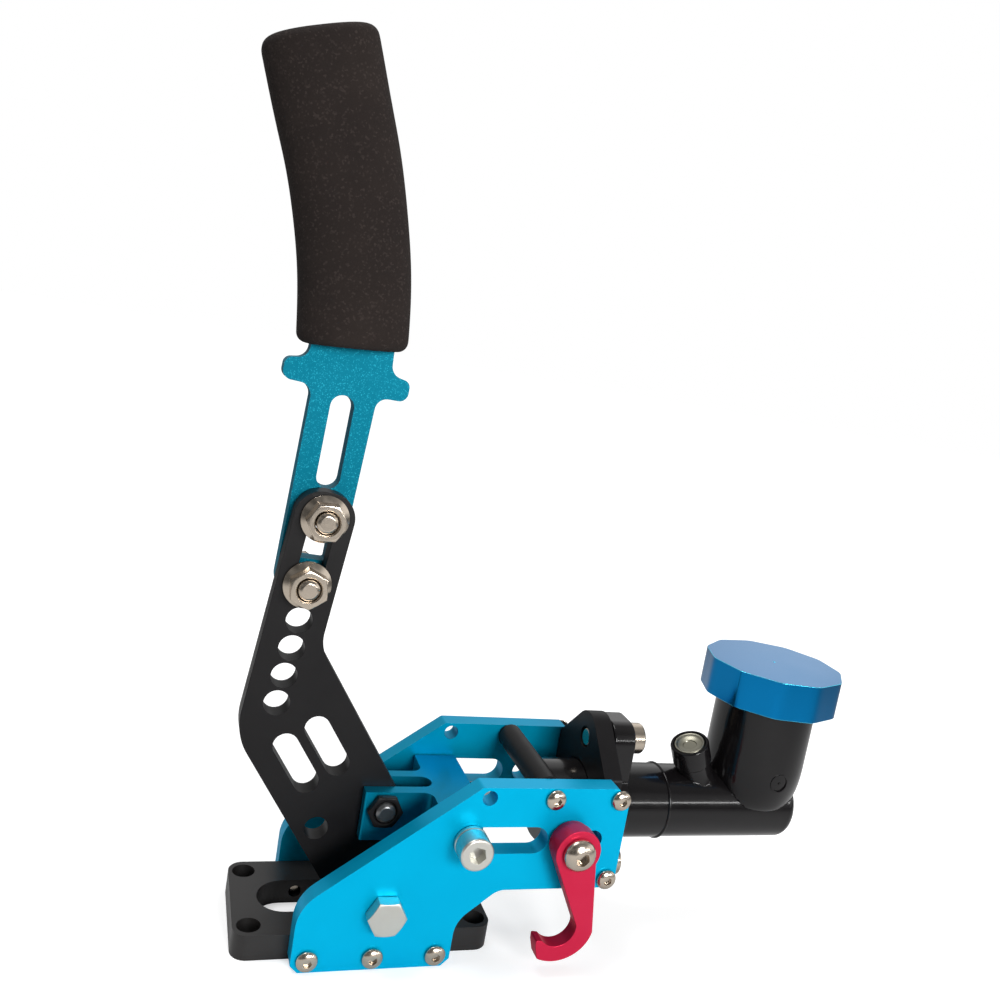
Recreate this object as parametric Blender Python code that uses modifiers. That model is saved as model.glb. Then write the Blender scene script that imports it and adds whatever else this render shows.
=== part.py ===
# Hydraulic parking brake lever with its master cylinder.
# Metres, +Z up. +X runs from the lever towards the cylinder, -Y is the side of the lock hook.
# The origin lies on the underside of the base block, on its mid-plane, at the lever end.

import math

import bmesh
import bpy
from mathutils import Vector

# Running and seating gap between neighbouring pieces
GAP = 0.0003

# Facets of a full turn on small, middling and large round pieces
SMALL_STEPS = 8
STEPS = 14
LARGE_STEPS = 22

# Main stations, measured from the lever pivot
PIVOT_X = 0.048
PIVOT_Z = 0.0235
AXIS_Z = 0.052

# Base block
BASE_MID_X = -0.003
BASE_THICK = 0.010
BASE_CORNER_R = 0.006
BASE_HOLE_R = 0.0045
BASE_HOLE_SPAN_X = 0.088
BASE_HOLE_SPAN_Y = 0.036
BASE_HOLE_EDGE = 0.006
BASE_SLOT_END_WALL = 0.010
BASE_SLOT_WIDTH = 0.021
BASE_SCREW_PITCH = 0.02425
BASE_SCREW_MID_X = -0.00225

# Side plates
BETWEEN_PLATES = 0.050
PLATE_THICK = 0.008
PLATE_FOOT_BACK = 0.0324
PLATE_FOOT_FRONT = 0.028
PLATE_TOP_Z = 0.0735
PLATE_TOP_START_X = 0.0303
PLATE_RISE_ANGLE = math.radians(37.1)
PLATE_UNDER_Z = 0.0313
PLATE_UNDER_START_X = 0.0432
PLATE_DIAGONAL_ANGLE = math.radians(40.4)
PLATE_END_CHAMFER = 0.0055
PLATE_FOOT_CHAMFER = 0.003
PLATE_BACK_ROUND = 0.016
PLATE_FOOT_ROUND = 0.012
PLATE_UNDER_ROUND = 0.008
PLATE_SPARE_HOLE_X = 0.079
PLATE_EMPTY_HOLE_X = 0.0335
PLATE_EMPTY_HOLE_Z = 0.0693
PLATE_EMPTY_HOLE_R = 0.003
EDGE_BREAK = 0.0004

# Guide slot and slider
SLIDER_X = 0.0284
SLOT_HEIGHT = 0.011
SLOT_BACK_X = 0.0226
SLOT_FRONT_X = 0.0600
BUSH_R = 0.0052
SLIDER_COLLAR_R = 0.0065
SLIDER_COLLAR_THICK = 0.0020

# M8 hardware
M8_R = 0.004
M8_HEAD_R = 0.0065
M8_HEAD_HEIGHT = 0.008
M8_SOCKET = 0.006
M8_ACROSS = 0.013
M8_HEX_HEAD = 0.0053
M8_NUT = 0.0065
M8_FLANGE_R = 0.00895
BOLT_TIP = 0.0012

# Small button-head screws
SMALL_HEAD_R = 0.0041
SMALL_HEAD_HEIGHT = 0.0023
SMALL_R = 0.0022
SMALL_SOCKET = 0.003
SMALL_REACH = 0.0135
BASE_SCREW_REACH = 0.0200

# Link fork
LINK_HEIGHT = 0.020
LINK_BACK_X = -0.0082
LINK_BAR_BACK_X = 0.0185
LINK_BAR_FRONT_X = 0.0365
LINK_CHEEK_THICK = 0.005
LINK_SLOT_END_X = 0.0202
LINK_CORNER_R = 0.004
LINK_WINDOW_R = 0.00525
CRANK_PLAY = 0.0007
CRANK_RING_R = 0.0062
CRANK_RING_THICK = 0.0030

# Lower arm, in two straight strips: the foot strip leans back, the upper strip leans forward
ARM_THICK = 0.008
FOOT_LEAN = math.radians(-33.55)
FOOT_SIDE_BACK = 0.0188
FOOT_SIDE_FRONT = 0.0233
FOOT_BOTTOM_Z = 0.0085
FOOT_ROUND = 0.0125
FOOT_FRONT_X = 0.0120
SLANT_SLOT_PAST_HOLE = 0.0199
SLANT_SLOT_TO_ELBOW = 0.0213
SLANT_SLOT_WIDTH = 0.0097
SLANT_SLOT_FRONT_SIDE = 0.0080
SLANT_SLOT_PITCH = 0.0132
ARM_LOW_HOLE_UP = 0.0282
ARM_LOW_HOLE_SIDE = -0.0106
ARM_LOW_HOLE_R = 0.00465
ELBOW_UP = 0.0865
UPPER_LEAN = math.radians(7.125)
UPPER_WIDTH = 0.0223
ARM_ROUND_HOLE_R = 0.0049
ARM_ROUND_HOLE_PITCH = 0.0109
ARM_ROUND_HOLE_START = -0.0049
ARM_ROUND_HOLE_SIDE = 0.0007
LOWER_NUT_UP = 0.0417
NUT_SPACING = 0.0253
ARM_TOP_MARGIN = 0.0098
ARM_SLOT_WIDTH = 0.0097
BACK_BEND_R = 0.025
FRONT_BEND_R = 0.015

# Upper bar
BAR_THICK = 0.008
BAR_LEAN = math.radians(3.2)
BAR_WIDTH = 0.0244
BAR_OFFSET = -0.00035
BAR_BOTTOM_BELOW_NUT = 0.0080
BAR_OPENING_WIDTH = 0.0095
BAR_OPENING_LENGTH = 0.0132
BAR_SLOT_WIDTH = 0.0088
BAR_SLOT_START = 0.0140
BAR_SLOT_LENGTH = 0.0263
EAR_UP = 0.0507
EAR_REACH = 0.0233
EAR_HEIGHT = 0.009
NECK_WIDTH = 0.030
TANG_WIDTH = 0.018

# Foam grip, on the centreline of the curved tang
GRIP_START_UP = 0.0622
GRIP_WIDTH = 0.0405
GRIP_DEPTH = 0.030
GRIP_START_LEAN = math.radians(-3.5)
GRIP_BEND_R = 0.255
GRIP_TURN = math.radians(-16.5)
GRIP_STRAIGHT = 0.0335
GRIP_WALL_TOP = 0.012
GRIP_ROUND = 0.004

# Cross bar
CROSS_BAR_X = 0.0602
CROSS_BAR_Z = 0.069
CROSS_BAR_R = 0.0052

# Cylinder bracket
BRACKET_X = 0.084
BRACKET_THICK = 0.008
BRACKET_HALF_HEIGHT = 0.0205
BRACKET_LOBE_R = 0.011
FLANGE_BOLT_HALF_SPAN = 0.0283
BRACKET_SCREW_HALF_SPAN = 0.01685

# Master cylinder
NOSE_R = 0.017
NOSE_BACK_X = 0.0672
FLANGE_THICK = 0.0097
FLANGE_LOBE_R = 0.0125
FLANGE_DISC_R = 0.018
TUBE_R = 0.0154
TUBE_STEP = 0.0007
TUBE_STEP_X = 0.1225
TUBE_END_X = 0.187
TUBE_END_ROUND = 0.008
BORE_R = 0.0089
BORE_END_X = 0.158
BORE_MOUTH_R = 0.0104
BORE_MOUTH_DEPTH = 0.0026
RING_THICK = 0.0014
RING_HOLE_R = 0.0052
OUTLET_X = 0.1453
OUTLET_LEAN = math.radians(-25.0)
OUTLET_TIP = math.radians(8.0)
OUTLET_TOP = 0.0322
OUTLET_R = 0.0083
OUTLET_NECK_R = 0.0077
OUTLET_COLLAR_HEIGHT = 0.0095
OUTLET_PLUG_R = 0.0067
OUTLET_PLUG_DEPTH = 0.0050

# Pushrod, piston and spring inside the cylinder
PUSHROD_SPIGOT_R = 0.0022
PUSHROD_END_X = 0.0820
JAM_NUT_X = 0.0375
JAM_NUT_THICK = 0.004
PISTON_X = 0.0765
PISTON_LENGTH = 0.032
PISTON_CLEARANCE = 0.0002
SEAL_WIDTH = 0.0032
SEAL_DEPTH = 0.0018
SPRING_R = 0.0062
SPRING_WIRE_R = 0.0008
SPRING_TURNS = 6

# Reservoir
CUP_X = 0.169
CUP_R = 0.0215
CUP_WALL = 0.0025
CUP_BASE_Z = 0.0550
CUP_FLOOR_Z = 0.0760
CUP_TOP_Z = 0.1120
CUP_FOOT_INSET = 0.0055
CUP_FOOT_HEIGHT = 0.019
CUP_FLOOR_ROUND = 0.003
CAP_BOTTOM_Z = 0.1022
CAP_HEIGHT = 0.016
CAP_R = 0.0297
CAP_TOP_THICK = 0.0040
CAP_LOBES = 11
CAP_LOBE_DEPTH = 0.0017
CAP_LOBE_TURN = math.radians(174.3)
DIAPHRAGM_THICK = 0.0012

# Lock hook, in the position that hangs from its screw
HOOK_X = 0.069
HOOK_HEAD_R = 0.0092
HOOK_BOSS_R = 0.0085
HOOK_BOSS_LENGTH = 0.0032
HOOK_THICK = 0.0065
HOOK_SCREW_HEAD_R = 0.0065
HOOK_SCREW_HEAD_HEIGHT = 0.0044
HOOK_SCREW_SOCKET = 0.005
HOOK_CLAW_R = 0.0075
HOOK_CLAW_DX = -0.0026
HOOK_CLAW_DZ = -0.0314
HOOK_CLAW_FLOOR = 0.0064
HOOK_BACK_WALL = 0.0075
HOOK_TIP_HEIGHT = 0.0026
HOOK_TIP_REACH = 0.0080

# Places that follow from the sizes above
PLATE_IN = BETWEEN_PLATES / 2
PLATE_OUT = PLATE_IN + PLATE_THICK
PLATE_END_X = BRACKET_X + BRACKET_THICK
BRACKET_MID_X = BRACKET_X + BRACKET_THICK / 2
FLANGE_BACK_X = PLATE_END_X + GAP
FLANGE_FRONT_X = FLANGE_BACK_X + FLANGE_THICK
LINK_IN = ARM_THICK / 2 + GAP
LINK_OUT = LINK_IN + LINK_CHEEK_THICK
BAR_BACK_Y = ARM_THICK / 2 + GAP
BAR_MID_Y = BAR_BACK_Y + BAR_THICK / 2
HOLE_R = M8_R + GAP
CAP_TOP_Z = CAP_BOTTOM_Z + CAP_HEIGHT

TURNS = {
    "+X": (0, math.pi / 2, 0),
    "-X": (0, -math.pi / 2, 0),
    "+Y": (-math.pi / 2, 0, 0),
    "-Y": (math.pi / 2, 0, 0),
    "+Z": (0, 0, 0),
}
PLANES = {
    "XZ": (math.pi / 2, 0, 0),
    "XY": (0, 0, 0),
    "YZ": (math.pi / 2, 0, math.pi / 2),
}


# Start from an empty file

for old in list(bpy.data.objects):
    bpy.data.objects.remove(old, do_unlink=True)

PARTS = bpy.data.collections.new("parking_brake_lever")
CUTTERS = bpy.data.collections.new("cutters")
bpy.context.scene.collection.children.link(PARTS)
bpy.context.scene.collection.children.link(CUTTERS)


# Materials

def material(name, colour, metallic, roughness):
    made = bpy.data.materials.new(name)
    made.use_nodes = True
    shader = made.node_tree.nodes["Principled BSDF"]
    shader.inputs["Base Color"].default_value = (*colour, 1)
    shader.inputs["Metallic"].default_value = metallic
    shader.inputs["Roughness"].default_value = roughness
    made.diffuse_color = (*colour, 1)
    return made


LOOKS = {
    "cyan": ((0.00, 0.44, 0.66), 0.85, 0.38),
    "teal": ((0.00, 0.25, 0.36), 0.80, 0.45),
    "azure": ((0.00, 0.22, 0.60), 0.85, 0.25),
    "crimson": ((0.58, 0.03, 0.08), 0.80, 0.35),
    "black": ((0.015, 0.015, 0.017), 0.60, 0.42),
    "gloss": ((0.012, 0.012, 0.014), 0.30, 0.22),
    "steel": ((0.62, 0.58, 0.52), 1.00, 0.25),
    "zinc": ((0.66, 0.66, 0.64), 1.00, 0.35),
    "olive": ((0.34, 0.33, 0.27), 0.95, 0.40),
    "foam": ((0.018, 0.014, 0.013), 0.00, 0.95),
    "rubber": ((0.02, 0.02, 0.02), 0.00, 0.80),
}


# Joint axes and the frame they hang from

STATIONS = {}


def station(name, at, parent=None):
    empty = bpy.data.objects.new(name, None)
    empty.empty_display_size = 0.01
    PARTS.objects.link(empty)
    place(empty, at, parent)
    STATIONS[name] = Vector(at)
    return empty


def place(obj, at, parent):
    offset = Vector((0, 0, 0))
    if parent is not None:
        obj.parent = parent
        offset = STATIONS[parent.name]
    obj.location = Vector(at) - offset


# Outline helpers

def circle(x, y, r, count=STEPS):
    return [
        (x + r * math.cos(2 * math.pi * i / count), y + r * math.sin(2 * math.pi * i / count))
        for i in range(count)
    ]


def slot(x1, y1, x2, y2, r, count=STEPS // 2):
    heading = math.atan2(y2 - y1, x2 - x1)
    points = []
    for cx, cy, start in ((x2, y2, heading - math.pi / 2), (x1, y1, heading + math.pi / 2)):
        for i in range(count + 1):
            angle = start + math.pi * i / count
            points.append((cx + r * math.cos(angle), cy + r * math.sin(angle)))
    return points


def rounded(corners, step=math.radians(24)):
    points = []
    for i, (x, y, r) in enumerate(corners):
        before = Vector(corners[i - 1][:2])
        after = Vector(corners[(i + 1) % len(corners)][:2])
        here = Vector((x, y))
        back = (before - here).normalized()
        ahead = (after - here).normalized()
        opening = back.angle(ahead)
        if r <= 0 or opening > math.radians(179):
            points.append((x, y))
            continue
        reach = r / math.tan(opening / 2)
        start = here + back * reach
        end = here + ahead * reach
        centre = here + (back + ahead).normalized() * (r / math.sin(opening / 2))
        sweep = math.pi - opening
        count = max(1, math.ceil(sweep / step))
        first = start - centre
        side = 1 if first.cross(end - centre) > 0 else -1
        for k in range(count + 1):
            angle = side * sweep * k / count
            cos, sin = math.cos(angle), math.sin(angle)
            points.append((
                centre.x + first.x * cos - first.y * sin,
                centre.y + first.x * sin + first.y * cos,
            ))
    return points


def arc_point(x, y, r, degrees):
    angle = math.radians(degrees)
    return (x + r * math.cos(angle), y + r * math.sin(angle))


# Point in a strip that leans to +X by an angle from its own foot
def along(foot, lean, up, side):
    return (
        foot[0] + up * math.sin(lean) + side * math.cos(lean),
        foot[1] + up * math.cos(lean) - side * math.sin(lean),
    )


# Objects

def finish(obj, colour, parent, at, collection=PARTS):
    collection.objects.link(obj)
    place(obj, at, parent)
    if collection is CUTTERS:
        obj.hide_render = True
        obj.display_type = "WIRE"
    else:
        tint, metallic, roughness = LOOKS[colour]
        obj.data.materials.append(material(obj.name, tint, metallic, roughness))
    return obj


def flat_piece(name, loops, thickness, plane, at, colour=None, parent=None, edge=0.0):
    if edge and len(loops) > 1:
        obj = flat_piece(name, loops[:1], thickness, plane, at, colour, parent, edge)
        deep = thickness + 0.002
        return cut(obj, flat_piece(name + "_holes", loops[1:], deep, plane, at, None, parent))
    curve = bpy.data.curves.new(name, "CURVE")
    curve.dimensions = "2D"
    curve.fill_mode = "BOTH"
    curve.extrude = thickness / 2
    for loop in loops:
        spline = curve.splines.new("POLY")
        spline.points.add(len(loop) - 1)
        for point, (a, b) in zip(spline.points, loop):
            point.co = (a, b, 0, 1)
        spline.use_cyclic_u = True
    source = bpy.data.objects.new(name + "_outline", curve)
    CUTTERS.objects.link(source)
    bpy.context.view_layer.update()
    evaluated = source.evaluated_get(bpy.context.evaluated_depsgraph_get())
    mesh = bpy.data.meshes.new_from_object(evaluated)
    mesh.name = name
    form = bmesh.new()
    form.from_mesh(mesh)
    bmesh.ops.remove_doubles(form, verts=form.verts, dist=0.000002)
    bmesh.ops.dissolve_limit(form, angle_limit=0.01, verts=form.verts, edges=form.edges)
    bmesh.ops.recalc_face_normals(form, faces=form.faces)
    form.to_mesh(mesh)
    form.free()
    obj = bpy.data.objects.new(name, mesh)
    obj.matrix_world = source.matrix_world
    bpy.data.objects.remove(source)
    bpy.data.curves.remove(curve)
    obj.rotation_euler = PLANES[plane]
    finish(obj, colour, parent, at, CUTTERS if colour is None else PARTS)
    if edge:
        bevel = obj.modifiers.new("edges", "BEVEL")
        bevel.width = edge
        bevel.segments = 1
        bevel.limit_method = "ANGLE"
        bevel.angle_limit = math.radians(50)
    return obj


# A profile of (radius, height) pairs turned about the facing direction
def turned(name, profile, facing, at, colour=None, parent=None, steps=STEPS, ring=False):
    mesh = bpy.data.meshes.new(name)
    edges = [(i, i + 1) for i in range(len(profile) - 1)]
    if ring:
        edges.append((len(profile) - 1, 0))
    mesh.from_pydata([(r, 0, h) for r, h in profile], edges, [])
    obj = bpy.data.objects.new(name, mesh)
    obj.rotation_euler = TURNS[facing] if isinstance(facing, str) else facing
    finish(obj, colour, parent, at, CUTTERS if colour is None else PARTS)
    screw = obj.modifiers.new("turn", "SCREW")
    screw.axis = "Z"
    screw.angle = 2 * math.pi
    screw.steps = steps
    screw.render_steps = steps
    screw.use_merge_vertices = True
    screw.merge_threshold = 0.00001
    screw.use_smooth_shade = True
    return obj


def drum(name, r, low, high, facing, at, parent=None, steps=STEPS):
    profile = [(0, high), (r, high), (r, low), (0, low)]
    return turned(name, profile, facing, at, None, parent, steps)


def prism(name, across, low, high, facing, at, parent=None):
    bpy.ops.mesh.primitive_cylinder_add(
        vertices=6, radius=across / math.sqrt(3), depth=high - low, location=(0, 0, (high + low) / 2))
    obj = bpy.context.object
    obj.name = name
    obj.data.name = name
    for owner in list(obj.users_collection):
        owner.objects.unlink(obj)
    for vertex in obj.data.vertices:
        vertex.co.z += (high + low) / 2
    obj.location = (0, 0, 0)
    obj.rotation_euler = TURNS[facing]
    return finish(obj, None, parent, at, CUTTERS)


def combine(obj, other, operation):
    boolean = obj.modifiers.new(other.name, "BOOLEAN")
    boolean.operation = operation
    boolean.solver = "EXACT"
    boolean.object = other


def cut(obj, *others):
    for other in others:
        combine(obj, other, "DIFFERENCE")
    return obj


def join(obj, *others):
    for other in others:
        combine(obj, other, "UNION")
    return obj


# Screws: the seat of the head is at the given place and the head faces outwards

def cap_screw(name, at, facing, length, colour, parent):
    r, k = M8_HEAD_R, M8_HEAD_HEIGHT
    chamfer = 0.0006
    profile = [(0, k), (r - chamfer, k), (r, k - chamfer), (r, 0), (M8_R, 0),
               (M8_R, chamfer - length), (M8_R - chamfer, -length), (0, -length)]
    obj = turned(name, profile, facing, at, colour, parent)
    return cut(obj, prism(name + "_socket", M8_SOCKET, k / 2, k + 0.002, facing, at, parent))


def button_screw(name, at, facing, head_r, head_height, shank_r, length, socket, colour, parent, steps=SMALL_STEPS):
    rim = head_height * 0.18
    dome = [
        (head_r * math.sin(t), rim + (head_height - rim) * math.cos(t))
        for t in (0, math.radians(45), math.radians(90))
    ]
    profile = dome + [(head_r, 0), (shank_r, 0), (shank_r, -length), (0, -length)]
    obj = turned(name, profile, facing, at, colour, parent, steps)
    return cut(obj, prism(name + "_socket", socket, head_height * 0.45, head_height + 0.002, facing, at, parent))


def small_screw(name, at, facing, length, parent):
    return button_screw(name, at, facing, SMALL_HEAD_R, SMALL_HEAD_HEIGHT, SMALL_R, length,
                        SMALL_SOCKET, "steel", parent)


# A hexagon whose corners are turned down on its outer side, and on its seat if asked
def hexagon(name, across, low, high, facing, at, parent, colour=None, seat_chamfer=False):
    corner = across / math.sqrt(3) * 1.03
    flat = across / 2 * 0.98
    drop = (corner - flat) * math.tan(math.radians(30))
    profile = [(0, high), (flat, high), (corner, high - drop)]
    profile += [(corner, low + drop), (flat, low)] if seat_chamfer else [(corner, low)]
    body = turned(name, profile + [(0, low)], facing, at, colour, parent)
    combine(body, prism(name + "_flats", across, low - 0.001, high + 0.001, facing, at, parent), "INTERSECT")
    return body


def hex_bolt(name, at, facing, length, colour, parent):
    chamfer = 0.0006
    profile = [(0, M8_HEX_HEAD / 2), (M8_R, M8_HEX_HEAD / 2), (M8_R, chamfer - length),
               (M8_R - chamfer, -length), (0, -length)]
    obj = turned(name, profile, facing, at, colour, parent)
    return join(obj, hexagon(name + "_head", M8_ACROSS, 0, M8_HEX_HEAD, facing, at, parent))


def hex_nut(name, at, facing, height, colour, parent):
    obj = hexagon(name, M8_ACROSS, 0, height, facing, at, parent, colour, True)
    return cut(obj, drum(name + "_bore", HOLE_R, -0.002, height + 0.002, facing, at, parent))


def flange_nut(name, at, facing, colour, parent):
    r, h = M8_FLANGE_R, M8_HEAD_HEIGHT
    neck = M8_ACROSS / 2 * 0.9
    profile = [(0, h / 2), (neck, h / 2), (neck, h * 0.33), (r * 0.98, h * 0.15), (r, 0), (0, 0)]
    obj = turned(name, profile, facing, at, colour, parent)
    join(obj, hexagon(name + "_hex", M8_ACROSS, h * 0.1, h, facing, at, parent))
    return cut(obj, drum(name + "_bore", HOLE_R, -0.002, h + 0.002, facing, at, parent))


def tube(name, outer, inner, low, high, facing, at, colour, parent, steps=STEPS):
    profile = [(outer, high), (outer, low), (inner, low), (inner, high)]
    return turned(name, profile, facing, at, colour, parent, steps, ring=True)


# Frame of the whole object and the joint axes

ROOT = bpy.data.objects.new("lever_frame", None)
PARTS.objects.link(ROOT)
ROOT.location = (PIVOT_X, 0, 0)
STATIONS[ROOT.name] = Vector((0, 0, 0))
LEVER = station("lever_axis", (0, 0, PIVOT_Z), ROOT)
SLIDER = station("slider_axis", (SLIDER_X, 0, AXIS_Z), ROOT)
LINK = station("link_axis", (SLIDER_X, 0, AXIS_Z), SLIDER)
HOOK = station("hook_axis", (HOOK_X, 0, AXIS_Z), ROOT)
CAP = station("cap_axis", (CUP_X, 0, CAP_BOTTOM_Z), ROOT)


# Base block: plate with a long slot, four mounting holes and the tapped side holes

def base_block():
    half_length = BASE_HOLE_SPAN_X / 2 + BASE_HOLE_EDGE
    half_width = PLATE_IN - GAP
    x0, x1 = BASE_MID_X - half_length, BASE_MID_X + half_length
    r = BASE_CORNER_R
    loops = [rounded([(x0, -half_width, r), (x1, -half_width, r), (x1, half_width, r), (x0, half_width, r)])]
    slot_reach = half_length - BASE_SLOT_END_WALL - BASE_SLOT_WIDTH / 2
    loops.append(slot(BASE_MID_X - slot_reach, 0, BASE_MID_X + slot_reach, 0, BASE_SLOT_WIDTH / 2))
    for sx in (-1, 1):
        for sy in (-1, 1):
            loops.append(circle(BASE_MID_X + sx * BASE_HOLE_SPAN_X / 2, sy * BASE_HOLE_SPAN_Y / 2,
                                BASE_HOLE_R))
    obj = flat_piece("base_block", loops, BASE_THICK, "XY", (0, 0, BASE_THICK / 2), "black", ROOT, EDGE_BREAK)
    for i, x in enumerate(base_screw_places()):
        hole = drum("base_tapping_%d" % i, SMALL_R + GAP, -PLATE_IN - 0.002, PLATE_IN + 0.002, "+Y",
                    (x, 0, BASE_THICK / 2), ROOT, SMALL_STEPS)
        cut(obj, hole)
    return obj


def base_screw_places():
    return [BASE_SCREW_MID_X + i * BASE_SCREW_PITCH for i in (-1, 0, 1)]


# Side plates: one outline for both, with the guide slot, the hook holes and the screw holes

def plate_outline():
    rise = math.tan(PLATE_RISE_ANGLE)
    back_top = PLATE_TOP_Z - rise * (PLATE_TOP_START_X + PLATE_FOOT_BACK)
    fall = math.tan(PLATE_DIAGONAL_ANGLE)
    foot_top = PLATE_UNDER_Z - fall * (PLATE_UNDER_START_X - PLATE_FOOT_FRONT)
    c, f = PLATE_END_CHAMFER, PLATE_FOOT_CHAMFER
    return rounded([
        (f - PLATE_FOOT_BACK, 0, 0),
        (PLATE_FOOT_FRONT - f, 0, 0),
        (PLATE_FOOT_FRONT, f, 0),
        (PLATE_FOOT_FRONT, foot_top, PLATE_FOOT_ROUND),
        (PLATE_UNDER_START_X, PLATE_UNDER_Z, PLATE_UNDER_ROUND),
        (PLATE_END_X - c, PLATE_UNDER_Z, 0),
        (PLATE_END_X, PLATE_UNDER_Z + c, 0),
        (PLATE_END_X, PLATE_TOP_Z - c, 0),
        (PLATE_END_X - c, PLATE_TOP_Z, 0),
        (PLATE_TOP_START_X, PLATE_TOP_Z, 0),
        (-PLATE_FOOT_BACK, back_top, PLATE_BACK_ROUND),
        (-PLATE_FOOT_BACK, f, 0),
    ])


def side_plate(name, side):
    r = SLOT_HEIGHT / 2
    loops = [plate_outline()]
    loops.append(slot(SLOT_BACK_X + r, AXIS_Z, SLOT_FRONT_X - r, AXIS_Z, r))
    loops.append(circle(0, PIVOT_Z, HOLE_R))
    loops.append(circle(HOOK_X, AXIS_Z, HOLE_R))
    loops.append(circle(PLATE_SPARE_HOLE_X, AXIS_Z, M8_R))
    loops.append(circle(PLATE_EMPTY_HOLE_X, PLATE_EMPTY_HOLE_Z, PLATE_EMPTY_HOLE_R))
    small = [(x, BASE_THICK / 2) for x in base_screw_places()]
    small.append((CROSS_BAR_X, CROSS_BAR_Z))
    small += [(BRACKET_MID_X, AXIS_Z + s * BRACKET_SCREW_HALF_SPAN) for s in (-1, 1)]
    loops += [circle(x, z, SMALL_R + GAP, SMALL_STEPS) for x, z in small]
    return flat_piece(name, loops, PLATE_THICK, "XZ", (0, side * (PLATE_IN + PLATE_THICK / 2), 0),
                      "cyan", ROOT, EDGE_BREAK)


base_block()
for side, word, facing in ((-1, "front", "-Y"), (1, "rear", "+Y")):
    side_plate("side_plate_" + word, side)
    seat = side * (PLATE_OUT + GAP)
    for i, x in enumerate(base_screw_places()):
        small_screw("base_screw_%s_%d" % (word, i + 1), (x, seat, BASE_THICK / 2), facing,
                    BASE_SCREW_REACH, ROOT)
    small_screw("cross_bar_screw_" + word, (CROSS_BAR_X, seat, CROSS_BAR_Z), facing,
                PLATE_THICK + SMALL_REACH, ROOT)
    for s, height in ((1, "upper"), (-1, "lower")):
        small_screw("bracket_screw_%s_%s" % (word, height),
                    (BRACKET_MID_X, seat, AXIS_Z + s * BRACKET_SCREW_HALF_SPAN), facing,
                    PLATE_THICK + SMALL_REACH / 2, ROOT)
    inner = ARM_THICK / 2 + GAP
    tube("pivot_spacer_" + word, M8_HEAD_R, HOLE_R, inner, PLATE_IN - GAP, facing,
         (0, 0, PIVOT_Z), "zinc", ROOT)


# Cross bar with a tapped hole in each end

def cross_bar():
    reach = PLATE_IN - GAP
    floor = reach - SMALL_REACH - GAP
    hole = SMALL_R + GAP
    half = [(0, floor), (hole, floor), (hole, reach), (CROSS_BAR_R, reach)]
    profile = half + [(r, -h) for r, h in reversed(half)]
    return turned("cross_bar", profile, "+Y", (CROSS_BAR_X, 0, CROSS_BAR_Z), "black", ROOT)


cross_bar()


# Cylinder bracket: a block between the plates whose top and bottom run out to the flange bolts

def bracket_outline():
    half = PLATE_IN - GAP
    shoulder = BRACKET_HALF_HEIGHT
    reach = math.hypot(half, FLANGE_BOLT_HALF_SPAN - shoulder)
    rise = math.atan2(FLANGE_BOLT_HALF_SPAN - shoulder, half) + math.asin(BRACKET_LOBE_R / reach)
    apex = shoulder + half * math.tan(rise)
    corners = [(half, -shoulder, 0.002), (half, shoulder, 0.002), (0, apex, BRACKET_LOBE_R),
               (-half, shoulder, 0.002), (-half, -shoulder, 0.002), (0, -apex, BRACKET_LOBE_R)]
    return rounded(corners)


def cylinder_bracket():
    loops = [bracket_outline(), circle(0, 0, NOSE_R + GAP, LARGE_STEPS)]
    loops += [circle(0, s * FLANGE_BOLT_HALF_SPAN, HOLE_R) for s in (-1, 1)]
    obj = flat_piece("cylinder_bracket", loops, BRACKET_THICK, "YZ", (BRACKET_MID_X, 0, AXIS_Z),
                     "black", ROOT, EDGE_BREAK)
    for s in (-1, 1):
        for side, facing in ((-1, "-Y"), (1, "+Y")):
            place_z = AXIS_Z + s * BRACKET_SCREW_HALF_SPAN
            cut(obj, drum("bracket_tapping_%d_%d" % (s, side), SMALL_R + GAP,
                          PLATE_IN - SMALL_REACH / 2 - GAP, PLATE_IN + 0.001, facing,
                          (BRACKET_MID_X, 0, place_z), ROOT, SMALL_STEPS))
    return obj


cylinder_bracket()


# Pivot bolt through plates, spacers and arm

hex_bolt("pivot_bolt", (0, -PLATE_OUT - GAP, PIVOT_Z), "-Y",
         2 * PLATE_OUT + 2 * GAP + M8_NUT + BOLT_TIP, "zinc", ROOT)
hex_nut("pivot_nut", (0, PLATE_OUT + GAP, PIVOT_Z), "+Y", M8_NUT, "zinc", ROOT)


# Lower arm: the two strips meet at the elbow

def elbow():
    return along((0, PIVOT_Z), FOOT_LEAN, ELBOW_UP, (FOOT_SIDE_FRONT - FOOT_SIDE_BACK) / 2)


def nut_place(which):
    up = LOWER_NUT_UP + (NUT_SPACING if which == "upper" else 0)
    return along(elbow(), UPPER_LEAN, up, 0)


def meet(p, lean_p, q, lean_q):
    px, pz = math.sin(lean_p), math.cos(lean_p)
    qx, qz = math.sin(lean_q), math.cos(lean_q)
    t = ((q[0] - p[0]) * qz - (q[1] - p[1]) * qx) / (px * qz - pz * qx)
    return (p[0] + px * t, p[1] + pz * t)


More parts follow.
